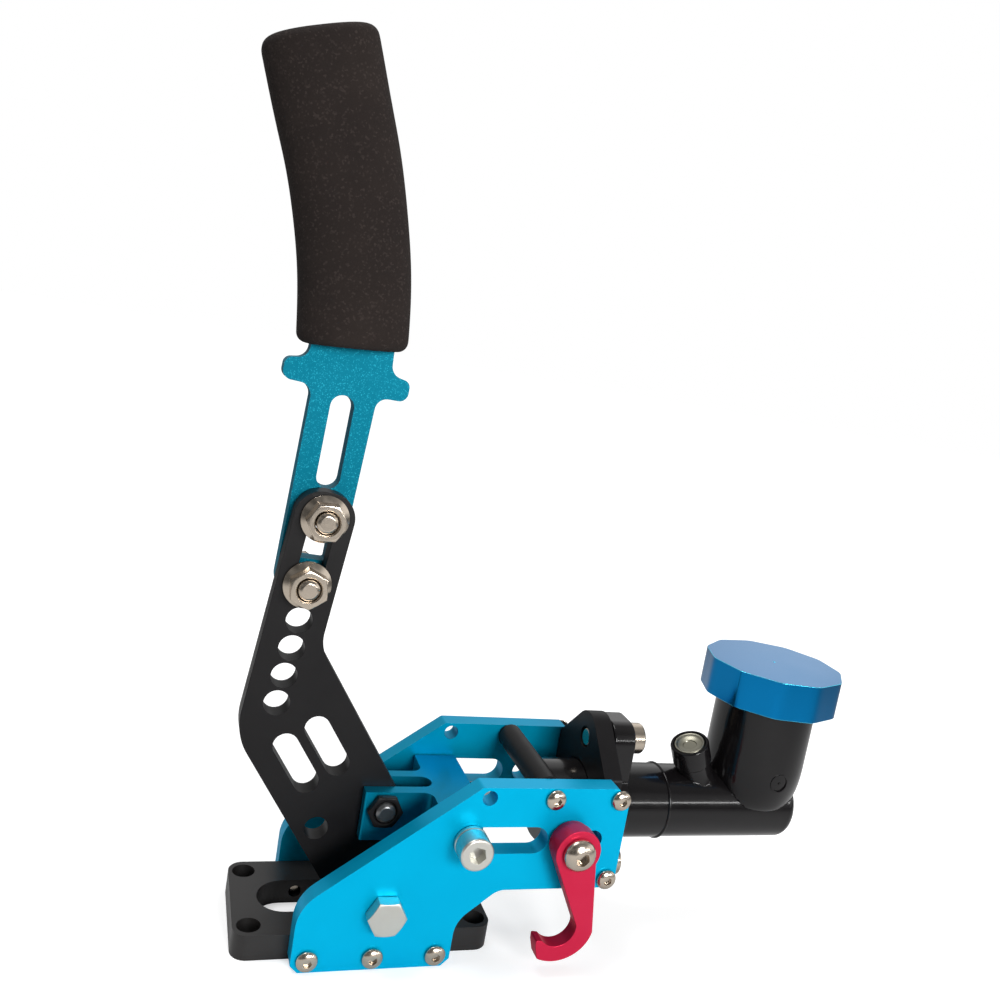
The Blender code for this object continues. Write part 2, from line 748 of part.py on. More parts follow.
def lower_arm():
    foot = (0, PIVOT_Z)
    bend = elbow()
    half = UPPER_WIDTH / 2
    top = LOWER_NUT_UP + NUT_SPACING + ARM_TOP_MARGIN
    foot_back = along(foot, FOOT_LEAN, 0, -FOOT_SIDE_BACK)
    foot_front = along(foot, FOOT_LEAN, 0, FOOT_SIDE_FRONT)
    upper_back = along(bend, UPPER_LEAN, 0, -half)
    upper_front = along(bend, UPPER_LEAN, 0, half)
    back_corner = meet(foot_back, FOOT_LEAN, upper_back, UPPER_LEAN)
    front_corner = meet(foot_front, FOOT_LEAN, upper_front, UPPER_LEAN)
    low_back = meet(foot_back, FOOT_LEAN, (0, FOOT_BOTTOM_Z), math.pi / 2)
    low_front = meet(foot_front, FOOT_LEAN, (FOOT_FRONT_X, 0), 0)
    outline = rounded([
        (*low_back, FOOT_ROUND),
        (FOOT_FRONT_X, FOOT_BOTTOM_Z, FOOT_ROUND),
        (*low_front, 0.010),
        (*front_corner, FRONT_BEND_R),
        (*along(bend, UPPER_LEAN, top, half), ARM_TOP_MARGIN),
        (*along(bend, UPPER_LEAN, top, -half), ARM_TOP_MARGIN),
        (*back_corner, BACK_BEND_R),
    ], math.radians(18))
    loops = [outline, circle(0, PIVOT_Z, HOLE_R), circle(0, AXIS_Z, HOLE_R)]
    loops.append(circle(*along(foot, FOOT_LEAN, ARM_LOW_HOLE_UP, ARM_LOW_HOLE_SIDE), ARM_LOW_HOLE_R))
    for side in (SLANT_SLOT_FRONT_SIDE, SLANT_SLOT_FRONT_SIDE - SLANT_SLOT_PITCH):
        low = along(foot, FOOT_LEAN, ARM_LOW_HOLE_UP + SLANT_SLOT_PAST_HOLE, side)
        high = along(foot, FOOT_LEAN, ELBOW_UP - SLANT_SLOT_TO_ELBOW, side)
        loops.append(slot(*low, *high, SLANT_SLOT_WIDTH / 2))
    for i in range(4):
        up = ARM_ROUND_HOLE_START + i * ARM_ROUND_HOLE_PITCH
        loops.append(circle(*along(bend, UPPER_LEAN, up, ARM_ROUND_HOLE_SIDE), ARM_ROUND_HOLE_R))
    loops.append(slot(*nut_place("lower"), *nut_place("upper"), ARM_SLOT_WIDTH / 2))
    loops = [[(x, z - PIVOT_Z) for x, z in loop] for loop in loops]
    return flat_piece("lower_arm", loops, ARM_THICK, "XZ", (0, 0, PIVOT_Z), "black", LEVER, EDGE_BREAK)


lower_arm()


# Crank bolt: fits the arm, and passes the link's cheeks with play

crank_head = LINK_OUT + GAP
hex_bolt("crank_bolt", (0, crank_head, AXIS_Z), "+Y",
         2 * crank_head + CRANK_RING_THICK + BOLT_TIP, "black", LEVER)
tube("crank_ring", CRANK_RING_R, HOLE_R, 0, CRANK_RING_THICK, "-Y", (0, -crank_head, AXIS_Z), "zinc", LEVER)


# Centreline of the grip and of the tang inside it, as (x, z, lean) at a distance from its start

def bar_foot():
    return along(nut_place("upper"), BAR_LEAN, 0, BAR_OFFSET)


def grip_line(distance):
    x0, z0 = along(bar_foot(), BAR_LEAN, GRIP_START_UP, 0)
    bend_length = GRIP_BEND_R * abs(GRIP_TURN)
    arc = min(distance, bend_length)
    lean = GRIP_START_LEAN - arc / GRIP_BEND_R
    x = x0 - GRIP_BEND_R * (math.cos(GRIP_START_LEAN) - math.cos(lean))
    z = z0 + GRIP_BEND_R * (math.sin(-lean) - math.sin(-GRIP_START_LEAN))
    straight = distance - arc
    return x + straight * math.sin(lean), z + straight * math.cos(lean), lean


GRIP_LENGTH = GRIP_BEND_R * abs(GRIP_TURN) + GRIP_STRAIGHT


def tang_side(start, stop, side, count):
    points = []
    for i in range(count + 1):
        x, z, lean = grip_line(start + (stop - start) * i / count)
        points.append(along((x, z), lean, 0, side))
    return points


# Upper bar: clamped on the back of the arm, two ears under the grip, curved tang inside it

def upper_bar():
    foot = bar_foot()
    half, neck = BAR_WIDTH / 2, NECK_WIDTH / 2
    hole = meet_nut()
    bottom = hole[1] - BAR_BOTTOM_BELOW_NUT
    ear_low, ear_high = EAR_UP - EAR_HEIGHT / 2, EAR_UP + EAR_HEIGHT / 2
    ear_r = EAR_HEIGHT / 2 - 0.0002
    shoulder = GRIP_START_UP - 0.0022
    front = [(half, bottom, 0.008), (half, ear_low, 0.003), (EAR_REACH, ear_low, ear_r),
             (EAR_REACH, ear_high, ear_r), (neck, ear_high, 0.003), (neck, shoulder, 0.003)]
    back = [(-side, up, r) for side, up, r in reversed(front)]
    right = [(*along(foot, BAR_LEAN, up, side), r) for side, up, r in front]
    left = [(*along(foot, BAR_LEAN, up, side), r) for side, up, r in back]
    tang = TANG_WIDTH / 2
    stop = GRIP_LENGTH - GRIP_WALL_TOP
    up_side = tang_side(0.004, stop, tang, 6)
    down_side = tang_side(0.004, stop, -tang, 6)
    foot_in = (*along(foot, BAR_LEAN, shoulder, tang), 0.001)
    foot_out = (*along(foot, BAR_LEAN, shoulder, -tang), 0.001)
    corners = right + [foot_in] + [(x, z, 0) for x, z in up_side[:-1]] + [(*up_side[-1], 0.004)]
    corners += [(*down_side[-1], 0.004)] + [(x, z, 0) for x, z in reversed(down_side[:-1])]
    corners += [foot_out] + left
    loops = [rounded(corners)]
    low, high = BAR_SLOT_START, BAR_SLOT_START + BAR_SLOT_LENGTH
    loops.append(slot(*along(foot, BAR_LEAN, low, 0), *along(foot, BAR_LEAN, high, 0), BAR_SLOT_WIDTH / 2))
    loops.append(slot(*along(foot, BAR_LEAN, -BAR_OPENING_LENGTH, 0), *foot, BAR_OPENING_WIDTH / 2))
    loops.append(circle(*nut_place("lower"), HOLE_R))
    loops = [[(x, z - PIVOT_Z) for x, z in loop] for loop in loops]
    return flat_piece("upper_bar", loops, BAR_THICK, "XZ", (0, BAR_MID_Y, PIVOT_Z), "teal", LEVER, EDGE_BREAK)


# Lower nut in the strip of the bar, as (side, up)
def meet_nut():
    fx, fz = bar_foot()
    nx, nz = nut_place("lower")
    dx, dz = nx - fx, nz - fz
    return (dx * math.cos(BAR_LEAN) - dz * math.sin(BAR_LEAN),
            dx * math.sin(BAR_LEAN) + dz * math.cos(BAR_LEAN))


upper_bar()

clamp_head = BAR_BACK_Y + BAR_THICK + GAP
clamp_nut = ARM_THICK / 2 + GAP
for which in ("lower", "upper"):
    x, z = nut_place(which)
    hex_bolt("arm_bolt_" + which, (x, clamp_head, z), "+Y",
             clamp_head + clamp_nut + M8_HEAD_HEIGHT + BOLT_TIP / 3, "steel", LEVER)
    flange_nut("arm_nut_" + which, (x, -clamp_nut, z), "-Y", "steel", LEVER)


# Foam grip: an oval swept along the centreline, with a sleeve for the tang

def foam_grip():
    path = bpy.data.curves.new("grip_path", "CURVE")
    path.dimensions = "3D"
    path.use_fill_caps = True
    path.bevel_mode = "OBJECT"
    oval = bpy.data.curves.new("grip_oval", "CURVE")
    oval.dimensions = "2D"
    ring = oval.splines.new("POLY")
    count = 20
    ring.points.add(count - 1)
    for i, point in enumerate(ring.points):
        angle = 2 * math.pi * i / count
        cos, sin = math.cos(angle), math.sin(angle)
        a = math.copysign(abs(cos) ** 0.8, cos) * GRIP_WIDTH / 2
        b = math.copysign(abs(sin) ** 0.8, sin) * GRIP_DEPTH / 2
        point.co = (b, a, 0, 1)
    ring.use_cyclic_u = True
    oval_object = bpy.data.objects.new("grip_oval", oval)
    CUTTERS.objects.link(oval_object)
    path.bevel_object = oval_object
    spline = path.splines.new("POLY")
    stations = 10
    spline.points.add(stations)
    for i, point in enumerate(spline.points):
        x, z, lean = grip_line(GRIP_LENGTH * i / stations)
        point.co = (x, 0, z - PIVOT_Z, 1)
    source = bpy.data.objects.new("grip_sweep", path)
    CUTTERS.objects.link(source)
    bpy.context.view_layer.update()
    evaluated = source.evaluated_get(bpy.context.evaluated_depsgraph_get())
    mesh = bpy.data.meshes.new_from_object(evaluated)
    mesh.name = "foam_grip"
    form = bmesh.new()
    form.from_mesh(mesh)
    bmesh.ops.remove_doubles(form, verts=form.verts, dist=0.000002)
    bmesh.ops.recalc_face_normals(form, faces=form.faces)
    form.to_mesh(mesh)
    form.free()
    obj = bpy.data.objects.new("foam_grip", mesh)
    obj.matrix_world = source.matrix_world
    for spent in (source, oval_object):
        bpy.data.objects.remove(spent)
    bpy.data.curves.remove(path)
    bpy.data.curves.remove(oval)
    finish(obj, "foam", LEVER, (0, BAR_MID_Y, PIVOT_Z))
    mesh.shade_smooth()
    bevel = obj.modifiers.new("soft_ends", "BEVEL")
    bevel.width = GRIP_ROUND
    bevel.segments = 2
    bevel.limit_method = "ANGLE"
    bevel.angle_limit = math.radians(50)
    return cut(obj, grip_sleeve())


def grip_sleeve():
    side = TANG_WIDTH / 2 + GAP
    stop = GRIP_LENGTH - GRIP_WALL_TOP + GAP
    right = tang_side(-0.006, stop, side, 7)
    left = tang_side(-0.006, stop, -side, 7)
    loop = [(x, z - PIVOT_Z) for x, z in right + left[::-1]]
    return flat_piece("grip_sleeve", [loop], BAR_THICK + 2 * GAP, "XZ", (0, BAR_MID_Y, PIVOT_Z), None, LEVER)


foam_grip()


# Link fork: cross piece in the guide slots' plane, two cheeks round the arm

def link_fork():
    reach = PLATE_IN - 2 * GAP - 0.0001
    r = LINK_CORNER_R
    back, bar_back, bar_front = LINK_BACK_X, LINK_BAR_BACK_X, LINK_BAR_FRONT_X
    inner = LINK_IN
    corners = [
        (bar_front, -reach, 0.001), (bar_front, reach, 0.001), (bar_back, reach, 0.001),
        (bar_back, LINK_OUT, r), (back, LINK_OUT, 0.001), (back, inner, 0.0005),
        (LINK_SLOT_END_X, inner, inner * 0.96), (LINK_SLOT_END_X, -inner, inner * 0.96),
        (back, -inner, 0.0005), (back, -LINK_OUT, 0.001), (bar_back, -LINK_OUT, r),
        (bar_back, -reach, 0.001),
    ]
    loop = [(x - SLIDER_X, y) for x, y in rounded(corners)]
    obj = flat_piece("link_fork", [loop], LINK_HEIGHT, "XY",
                     (SLIDER_X, 0, AXIS_Z - 0.003), "cyan", LINK, EDGE_BREAK)
    wide = PLATE_OUT
    cut(obj, drum("link_crank_hole", M8_R + CRANK_PLAY, -wide, wide, "+Y", (0, 0, AXIS_Z), LINK))
    cut(obj, drum("link_pin_hole", HOLE_R, -wide, wide, "+Y", (SLIDER_X, 0, AXIS_Z), LINK))
    cut(obj, drum("link_window", LINK_WINDOW_R, 0, 0.02, "+X", (SLIDER_X, 0, AXIS_Z), LINK))
    return obj


link_fork()


# Slider: the pin across the plates with bushes in the guide slots, and the pushrod that it drives

def slider():
    at = (SLIDER_X, 0, AXIS_Z)
    collar_face = PLATE_OUT + GAP
    seat = collar_face + SLIDER_COLLAR_THICK + GAP
    nut_face = PLATE_OUT + GAP
    pin = cap_screw("slider_pin", (SLIDER_X, -seat, AXIS_Z), "-Y",
                    seat + nut_face + M8_NUT + BOLT_TIP, "zinc", SLIDER)
    cut(pin, drum("pin_cross_hole", PUSHROD_SPIGOT_R + GAP, -0.006, 0.006, "+X", at, SLIDER))
    tube("slider_collar", SLIDER_COLLAR_R, HOLE_R, collar_face, collar_face + SLIDER_COLLAR_THICK,
         "-Y", at, "zinc", SLIDER)
    hex_nut("slider_nut", (SLIDER_X, nut_face, AXIS_Z), "+Y", M8_NUT, "zinc", SLIDER)
    for word, facing in (("front", "-Y"), ("rear", "+Y")):
        tube("slider_bush_" + word, BUSH_R, HOLE_R, PLATE_IN - GAP, PLATE_OUT - GAP, facing, at, "olive", SLIDER)
    start = M8_R + GAP
    length = PUSHROD_END_X - SLIDER_X
    ball = M8_R
    profile = [(0, length)]
    profile += [(ball * math.sin(t), length - ball + ball * math.cos(t))
                for t in (math.radians(30), math.radians(60), math.radians(90))]
    profile += [(M8_R, start), (PUSHROD_SPIGOT_R, start), (PUSHROD_SPIGOT_R, -M8_R + 0.0006),
                (0, -M8_R + 0.0006)]
    turned("pushrod", profile, "+X", at, "zinc", SLIDER)
    hex_nut("jam_nut", (JAM_NUT_X, 0, AXIS_Z), "+X", JAM_NUT_THICK, "zinc", SLIDER)


slider()


# Piston with a cup for the pushrod's ball and two seals in their grooves

def piston():
    r = BORE_R - PISTON_CLEARANCE
    groove = r - SEAL_DEPTH
    ball = M8_R + GAP
    centre = PUSHROD_END_X - M8_R - PISTON_X
    w = SEAL_WIDTH
    length = PISTON_LENGTH
    rear, front = 0.009, length - 0.005
    outer = [(0, length), (r, length)]
    for high in (front, rear):
        outer += [(r, high), (groove, high), (groove, high - w), (r, high - w)]
    outer += [(r, 0), (ball + 0.0012, 0), (ball, 0.0012)]
    cup = [(ball * math.sin(t), centre + ball * math.cos(t))
           for t in (math.radians(90), math.radians(45), 0)]
    turned("piston", outer + cup, "+X", (PISTON_X, 0, AXIS_Z), "zinc", SLIDER, LARGE_STEPS)
    for word, high in (("front", front), ("rear", rear)):
        slack = 0.00015
        tube("piston_seal_" + word, BORE_R - slack, groove + slack, high - w + slack, high - slack, "+X",
             (PISTON_X, 0, AXIS_Z), "rubber", SLIDER, LARGE_STEPS)


piston()


# Return spring between the piston and the blind end of the bore

def return_spring():
    start = PISTON_X + PISTON_LENGTH + SPRING_WIRE_R + GAP
    stop = BORE_END_X - SPRING_WIRE_R - GAP
    wire = bpy.data.curves.new("return_spring", "CURVE")
    wire.dimensions = "3D"
    wire.bevel_depth = SPRING_WIRE_R
    wire.bevel_resolution = 0
    wire.use_fill_caps = True
    spline = wire.splines.new("POLY")
    per_turn = SMALL_STEPS
    count = SPRING_TURNS * per_turn
    spline.points.add(count)
    for i, point in enumerate(spline.points):
        angle = 2 * math.pi * i / per_turn
        rise = min(max(i - per_turn, 0), count - 2 * per_turn) / (count - 2 * per_turn)
        extra = 2 * SPRING_WIRE_R + GAP
        ends = min(i, per_turn) / per_turn + min(max(i - count + per_turn, 0), per_turn) / per_turn
        reach = stop - start - 2 * extra
        point.co = (start + rise * reach + ends * extra, SPRING_R * math.cos(angle),
                    SPRING_R * math.sin(angle), 1)
    obj = bpy.data.objects.new("return_spring", wire)
    return finish(obj, "steel", ROOT, (0, 0, AXIS_Z))


return_spring()


# Master cylinder: turned body, two-bolt flange, leaning outlet boss, blind bore

def flange_outline():
    lobe, disc, span = FLANGE_LOBE_R, FLANGE_DISC_R, FLANGE_BOLT_HALF_SPAN
    side = lobe * 0.96
    waist = math.sqrt(disc * disc - side * side)
    half = [(side, -span - lobe, side * 0.98), (side, -waist, 0.003)]
    for k in (-1, 0, 1):
        angle = k * math.asin(waist / disc) * 0.62
        half.append((disc * math.cos(angle) * 1.03, disc * math.sin(angle) * 1.03, 0.008))
    half += [(side, waist, 0.003), (side, span + lobe, side * 0.98)]
    return rounded(half + [(-y, z, r) for y, z, r in reversed(half)])


def cylinder_body():
    length = TUBE_END_X - NOSE_BACK_X
    flange_low = FLANGE_BACK_X - NOSE_BACK_X
    flange_high = FLANGE_FRONT_X - NOSE_BACK_X
    step = TUBE_STEP_X - NOSE_BACK_X
    end = TUBE_END_ROUND
    wide = TUBE_R + TUBE_STEP
    mid = (flange_low + flange_high) / 2
    profile = [(0, length)]
    profile += [(TUBE_R - end + end * math.sin(t), length - end + end * math.cos(t))
                for t in (0, math.radians(30), math.radians(60), math.radians(90))]
    profile += [(TUBE_R, step), (wide - 0.0002, step), (wide, step - 0.0006), (wide, mid),
                (NOSE_R, mid), (NOSE_R, 0.001), (NOSE_R - 0.001, 0), (0, 0)]
    at = (NOSE_BACK_X, 0, AXIS_Z)
    obj = turned("cylinder_body", profile, "+X", at, "gloss", ROOT, LARGE_STEPS)
    flange_at = (FLANGE_BACK_X + FLANGE_THICK / 2, 0, AXIS_Z)
    flange = flat_piece("cylinder_flange", [flange_outline()], FLANGE_THICK, "YZ", flange_at, None, ROOT)
    join(obj, flange)
    top = OUTLET_TOP
    low = top - OUTLET_COLLAR_HEIGHT
    boss_profile = [(0, top), (OUTLET_R - 0.0006, top), (OUTLET_R, top - 0.0006), (OUTLET_R, low + 0.0006),
                    (OUTLET_NECK_R, low), (OUTLET_NECK_R, BORE_R + 0.002), (0, BORE_R + 0.002)]
    boss_at = (OUTLET_X, 0, AXIS_Z)
    tilt = (OUTLET_TIP, OUTLET_LEAN, 0)
    join(obj, turned("outlet_boss", boss_profile, tilt, boss_at, None, ROOT))
    seat = OUTLET_PLUG_R + GAP
    cut(obj, drum("outlet_seat", seat, top - OUTLET_PLUG_DEPTH - GAP, top + 0.002, tilt, boss_at, ROOT))
    bore_profile = [(0, BORE_END_X - NOSE_BACK_X), (BORE_R, BORE_END_X - NOSE_BACK_X),
                    (BORE_R, BORE_MOUTH_DEPTH), (BORE_MOUTH_R, BORE_MOUTH_DEPTH),
                    (BORE_MOUTH_R, -0.002), (0, -0.002)]
    cut(obj, turned("cylinder_bore", bore_profile, "+X", at, None, ROOT, LARGE_STEPS))
    for s in (-1, 1):
        cut(obj, drum("flange_hole_%d" % s, HOLE_R, -0.002, FLANGE_THICK + 0.002, "+X",
                      (FLANGE_BACK_X, 0, AXIS_Z + s * FLANGE_BOLT_HALF_SPAN), ROOT))
    plug = OUTLET_PLUG_R
    dish = [(0, top - 0.0012), (plug * 0.55, top - 0.0008), (plug * 0.8, top + 0.0002),
            (plug * 0.92, top + 0.0002), (plug, top - 0.0006), (plug, top - OUTLET_PLUG_DEPTH),
            (0, top - OUTLET_PLUG_DEPTH)]
    turned("outlet_plug", dish, tilt, boss_at, "olive", ROOT)


cylinder_body()

tube("retaining_ring", BORE_MOUTH_R - GAP, RING_HOLE_R, BORE_MOUTH_DEPTH - GAP - RING_THICK,
     BORE_MOUTH_DEPTH - GAP, "+X", (NOSE_BACK_X, 0, AXIS_Z), "steel", ROOT, LARGE_STEPS)
for s, word in ((1, "upper"), (-1, "lower")):
    cap_screw("flange_bolt_" + word, (FLANGE_FRONT_X + GAP, 0, AXIS_Z + s * FLANGE_BOLT_HALF_SPAN),
              "+X", FLANGE_THICK + BRACKET_THICK - 0.0015, "steel", ROOT)


# Reservoir: a cup whose rounded foot saddles the tube

def reservoir_cup():
    inner = CUP_R - CUP_WALL
    low = CUP_BASE_Z
    foot = [(CUP_R - CUP_FOOT_INSET * (1 - math.cos(t)), low + CUP_FOOT_HEIGHT * (1 - math.sin(t)))
            for t in (math.radians(a) for a in (0, 30, 60, 90))]
    floor = [(0, CUP_FLOOR_Z), (inner - CUP_FLOOR_ROUND, CUP_FLOOR_Z), (inner, CUP_FLOOR_Z + CUP_FLOOR_ROUND)]
    profile = floor + [(inner, CUP_TOP_Z), (CUP_R, CUP_TOP_Z)] + foot + [(0, low)]
    obj = turned("reservoir_cup", profile, "+Z", (CUP_X, 0, 0), "gloss", ROOT, LARGE_STEPS)
    saddle = drum("cup_saddle", TUBE_R + GAP, -2 * CUP_R, 2 * CUP_R, "+X", (CUP_X, 0, AXIS_Z), ROOT, LARGE_STEPS)
    return cut(obj, saddle)


reservoir_cup()


# Screw cap with flats, and the diaphragm that it carries

def reservoir_cap():
    count = 4
    loop = []
    for i in range(CAP_LOBES * count):
        angle = CAP_LOBE_TURN + 2 * math.pi * i / (CAP_LOBES * count)
        share = (i % count) / count
        r = CAP_R - CAP_LOBE_DEPTH * math.sin(math.pi * share)
        loop.append((r * math.cos(angle), r * math.sin(angle)))
    obj = flat_piece("reservoir_cap", [loop], CAP_HEIGHT, "XY",
                     (CUP_X, 0, CAP_BOTTOM_Z + CAP_HEIGHT / 2), "azure", CAP, EDGE_BREAK * 1.5)
    hollow = drum("cap_hollow", CUP_R + 2 * GAP, -0.001, CAP_HEIGHT - CAP_TOP_THICK, "+Z",
                  (CUP_X, 0, CAP_BOTTOM_Z), CAP, LARGE_STEPS)
    return cut(obj, hollow)


reservoir_cap()
diaphragm_top = CAP_TOP_Z - CAP_TOP_THICK - GAP
turned("cap_diaphragm", [(0, diaphragm_top), (CUP_R - GAP, diaphragm_top),
                         (CUP_R - GAP, diaphragm_top - DIAPHRAGM_THICK), (0, diaphragm_top - DIAPHRAGM_THICK)],
       "+Z", (CUP_X, 0, 0), "rubber", CAP, LARGE_STEPS)


# Lock hook: round head, tapering shank and a claw that is open to the back

def hook_outline():
    cx, cz = HOOK_CLAW_DX, HOOK_CLAW_DZ
    r = HOOK_CLAW_R
    head = [arc_point(0, 0, HOOK_HEAD_R, -28 + 228 * i / 9) for i in range(10)]
    throat = [arc_point(cx, cz, r, 8 - 146 * i / 8) for i in range(9)]
    tip = [(cx - HOOK_TIP_REACH, cz - r + HOOK_TIP_HEIGHT), (cx - HOOK_TIP_REACH, cz - r)]
    deep, wide = r + HOOK_CLAW_FLOOR, r + HOOK_BACK_WALL
    heel = []
    for angle in (-116, -96, -74, -52, -30, -8):
        t = math.radians(angle)
        heel.append((cx + wide * math.cos(t), cz + deep * math.sin(t)))
    return head + throat + tip + heel


def lock_hook():
    back = PLATE_OUT + GAP
    plate_back = back + HOOK_BOSS_LENGTH
    mid = plate_back + HOOK_THICK / 2
    loops = [hook_outline(), circle(0, 0, HOLE_R)]
    obj = flat_piece("lock_hook", loops, HOOK_THICK, "XZ", (HOOK_X, -mid, AXIS_Z), "crimson", HOOK, EDGE_BREAK)
    profile = [(HOOK_BOSS_R, plate_back + HOOK_THICK / 2), (HOOK_BOSS_R, back), (HOLE_R, back),
               (HOLE_R, plate_back + HOOK_THICK / 2)]
    return join(obj, turned("hook_boss", profile, "-Y", (HOOK_X, 0, AXIS_Z), None, HOOK, ring=True))


lock_hook()
button_screw("hook_screw", (HOOK_X, -PLATE_OUT - 2 * GAP - HOOK_BOSS_LENGTH - HOOK_THICK, AXIS_Z), "-Y",
             HOOK_SCREW_HEAD_R, HOOK_SCREW_HEAD_HEIGHT, M8_R,
             HOOK_BOSS_LENGTH + HOOK_THICK + PLATE_THICK + 2 * GAP, HOOK_SCREW_SOCKET, "steel", ROOT, STEPS)


# Round pieces are shaded smooth

for obj in PARTS.objects:
    if obj.type == "MESH":
        obj.data.shade_smooth()
        obj.data.set_sharp_from_angle(angle=math.radians(35))
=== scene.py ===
# %% [markdown]
# # A hydraulic parking brake lever
# The real object is an upright hand lever on a slotted base. It pushes a master
# cylinder through a guided link, and a screw-capped reservoir feeds that cylinder.
# Flat aluminium plates are milled and anodised, round parts are turned, and the
# grip is a tube of black foam. The solid model is loaded first. Each cell then
# makes one finish or one piece in its frame and says what the piece stands for.

# %% Load the solid model
import math

import bpy
from mathutils import Matrix, Vector


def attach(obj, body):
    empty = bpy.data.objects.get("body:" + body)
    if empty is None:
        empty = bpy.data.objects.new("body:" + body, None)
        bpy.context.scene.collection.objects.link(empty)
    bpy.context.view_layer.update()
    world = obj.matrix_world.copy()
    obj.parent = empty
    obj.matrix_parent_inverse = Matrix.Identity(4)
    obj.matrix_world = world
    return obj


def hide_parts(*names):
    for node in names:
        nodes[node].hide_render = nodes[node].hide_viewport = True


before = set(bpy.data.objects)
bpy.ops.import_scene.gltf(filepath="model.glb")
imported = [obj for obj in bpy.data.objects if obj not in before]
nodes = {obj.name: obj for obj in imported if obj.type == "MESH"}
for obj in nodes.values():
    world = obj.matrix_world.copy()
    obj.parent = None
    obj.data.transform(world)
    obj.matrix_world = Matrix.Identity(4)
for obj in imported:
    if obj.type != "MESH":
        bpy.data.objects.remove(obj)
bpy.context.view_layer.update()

# %% [markdown]
# ## Sizes
# A maker works from a few stations: the lever pivot, the cylinder axis and the
# thicknesses of the plates. All lengths are metres. X runs from the lever to the
# cylinder, Z is up from the base's underside, and the lock hook is on the -Y
# side. Distances along X start at the pivot, and `spot` adds the pivot's place.

# %% Sizes shared by many pieces
GAP = 0.0003
PIVOT_X, PIVOT_Z, AXIS_Z = 0.048, 0.0235, 0.052
PLATE_IN, PLATE_OUT = 0.025, 0.033
THICK = 0.008
BAR_MID_Y = 0.0083
M8, CLEAR, TAPPED = 0.004, 0.0043, 0.0025
BASE_SCREWS = (-0.0265, -0.00225, 0.022)
CROSS_X, CROSS_Z = 0.0602, 0.069
SLIDER_X, HOOK_X, BRACKET_X, CUP_X = 0.0284, 0.069, 0.088, 0.169
BRACKET_SPAN, FLANGE_SPAN = 0.01685, 0.0283


def spot(x, y, z):
    return Vector((PIVOT_X + x, y, z))


def strip_point(foot, lean, up, side):
    return (foot[0] + up * math.sin(lean) + side * math.cos(lean),
            foot[1] + up * math.cos(lean) - side * math.sin(lean))


FOOT_LEAN, UPPER_LEAN, BAR_LEAN = (math.radians(a) for a in (-33.55, 7.125, 3.2))
ELBOW = strip_point((0, PIVOT_Z), FOOT_LEAN, 0.0865, 0.00225)
LOWER_NUT = strip_point(ELBOW, UPPER_LEAN, 0.0417, 0)
UPPER_NUT = strip_point(ELBOW, UPPER_LEAN, 0.0670, 0)
BAR_FOOT = strip_point(UPPER_NUT, BAR_LEAN, 0, -0.00035)
print("elbow", ELBOW, "nuts", LOWER_NUT, UPPER_NUT)

# %% [markdown]
# ## Camera and studio
# The photograph is taken from the lever's side, a little above the object and
# with the camera slightly rolled. The main lamp stands in front, a little to the
# right, so front faces are bright and upward faces are darker. Metal needs
# something to mirror, so the room around it has soft light and dark patches.

# %% Camera
def aim_camera(place, yaw, pitch, roll, lens):
    ahead = Vector((math.sin(yaw) * math.cos(pitch), math.cos(yaw) * math.cos(pitch), -math.sin(pitch)))
    level = Vector((math.cos(yaw), -math.sin(yaw), 0))
    above = level.cross(ahead)
    right = math.cos(roll) * level + math.sin(roll) * above
    up = -math.sin(roll) * level + math.cos(roll) * above
    lens_data = bpy.data.cameras.new("camera")
    lens_data.lens = lens
    lens_data.sensor_width = 36
    lens_data.clip_start = 0.01
    lens_data.clip_end = 50
    camera = bpy.data.objects.new("camera", lens_data)
    bpy.context.scene.collection.objects.link(camera)
    turn = Matrix((right, up, -ahead)).transposed().to_4x4()
    camera.matrix_world = Matrix.Translation(place) @ turn
    bpy.context.scene.camera = camera
    return camera


aim_camera((-0.0442714, -0.3472204, 0.2354565), 0.33592, 0.15819, 0.16796, 34.61)

# %% Lamps
def soft_lamp(name, place, target, size, power, height=None):
    lamp = bpy.data.lights.new(name, "AREA")
    lamp.shape = "RECTANGLE" if height else "DISK"
    lamp.size = size
    if height:
        lamp.size_y = height
    lamp.energy = power
    holder = bpy.data.objects.new(name, lamp)
    bpy.context.scene.collection.objects.link(holder)
    holder.location = place
    holder.rotation_euler = (Vector(target) - Vector(place)).to_track_quat("-Z", "Y").to_euler()
    return holder


soft_lamp("front", (0.32, -1.20, 0.48), (0.08, 0, 0.1), 0.50, 15)
soft_lamp("overhead", (-0.30, 0.15, 1.20), (0.08, 0, 0.1), 0.6, 7)
soft_lamp("strip", (0.90, -1.00, 0.38), (0.18, 0, 0.05), 0.7, 2.2, height=0.05)

# %% Helpers for node trees
def new_node(tree, kind, **settings):
    node = tree.nodes.new(kind)
    for name, value in settings.items():
        setattr(node, name, value)
    return node


def feed(tree, socket, value):
    if isinstance(value, bpy.types.NodeSocket):
        tree.links.new(value, socket)
    else:
        socket.default_value = value


def calculate(tree, operation, *values):
    node = new_node(tree, "ShaderNodeMath", operation=operation)
    for socket, value in zip(node.inputs, values):
        feed(tree, socket, value)
    return node.outputs[0]


def ramp(tree, value, low, high, to_low=0.0, to_high=1.0, interpolation="LINEAR"):
    node = new_node(tree, "ShaderNodeMapRange", interpolation_type=interpolation)
    settings = {"Value": value, "From Min": low, "From Max": high, "To Min": to_low, "To Max": to_high}
    for name, setting in settings.items():
        feed(tree, node.inputs[name], setting)
    return node.outputs["Result"]


def noise(tree, vector, scale, detail=2.0, roughness=0.5):
    node = new_node(tree, "ShaderNodeTexNoise")
    for name, value in (("Vector", vector), ("Scale", scale), ("Detail", detail), ("Roughness", roughness)):
        feed(tree, node.inputs[name], value)
    return node.outputs["Fac"]


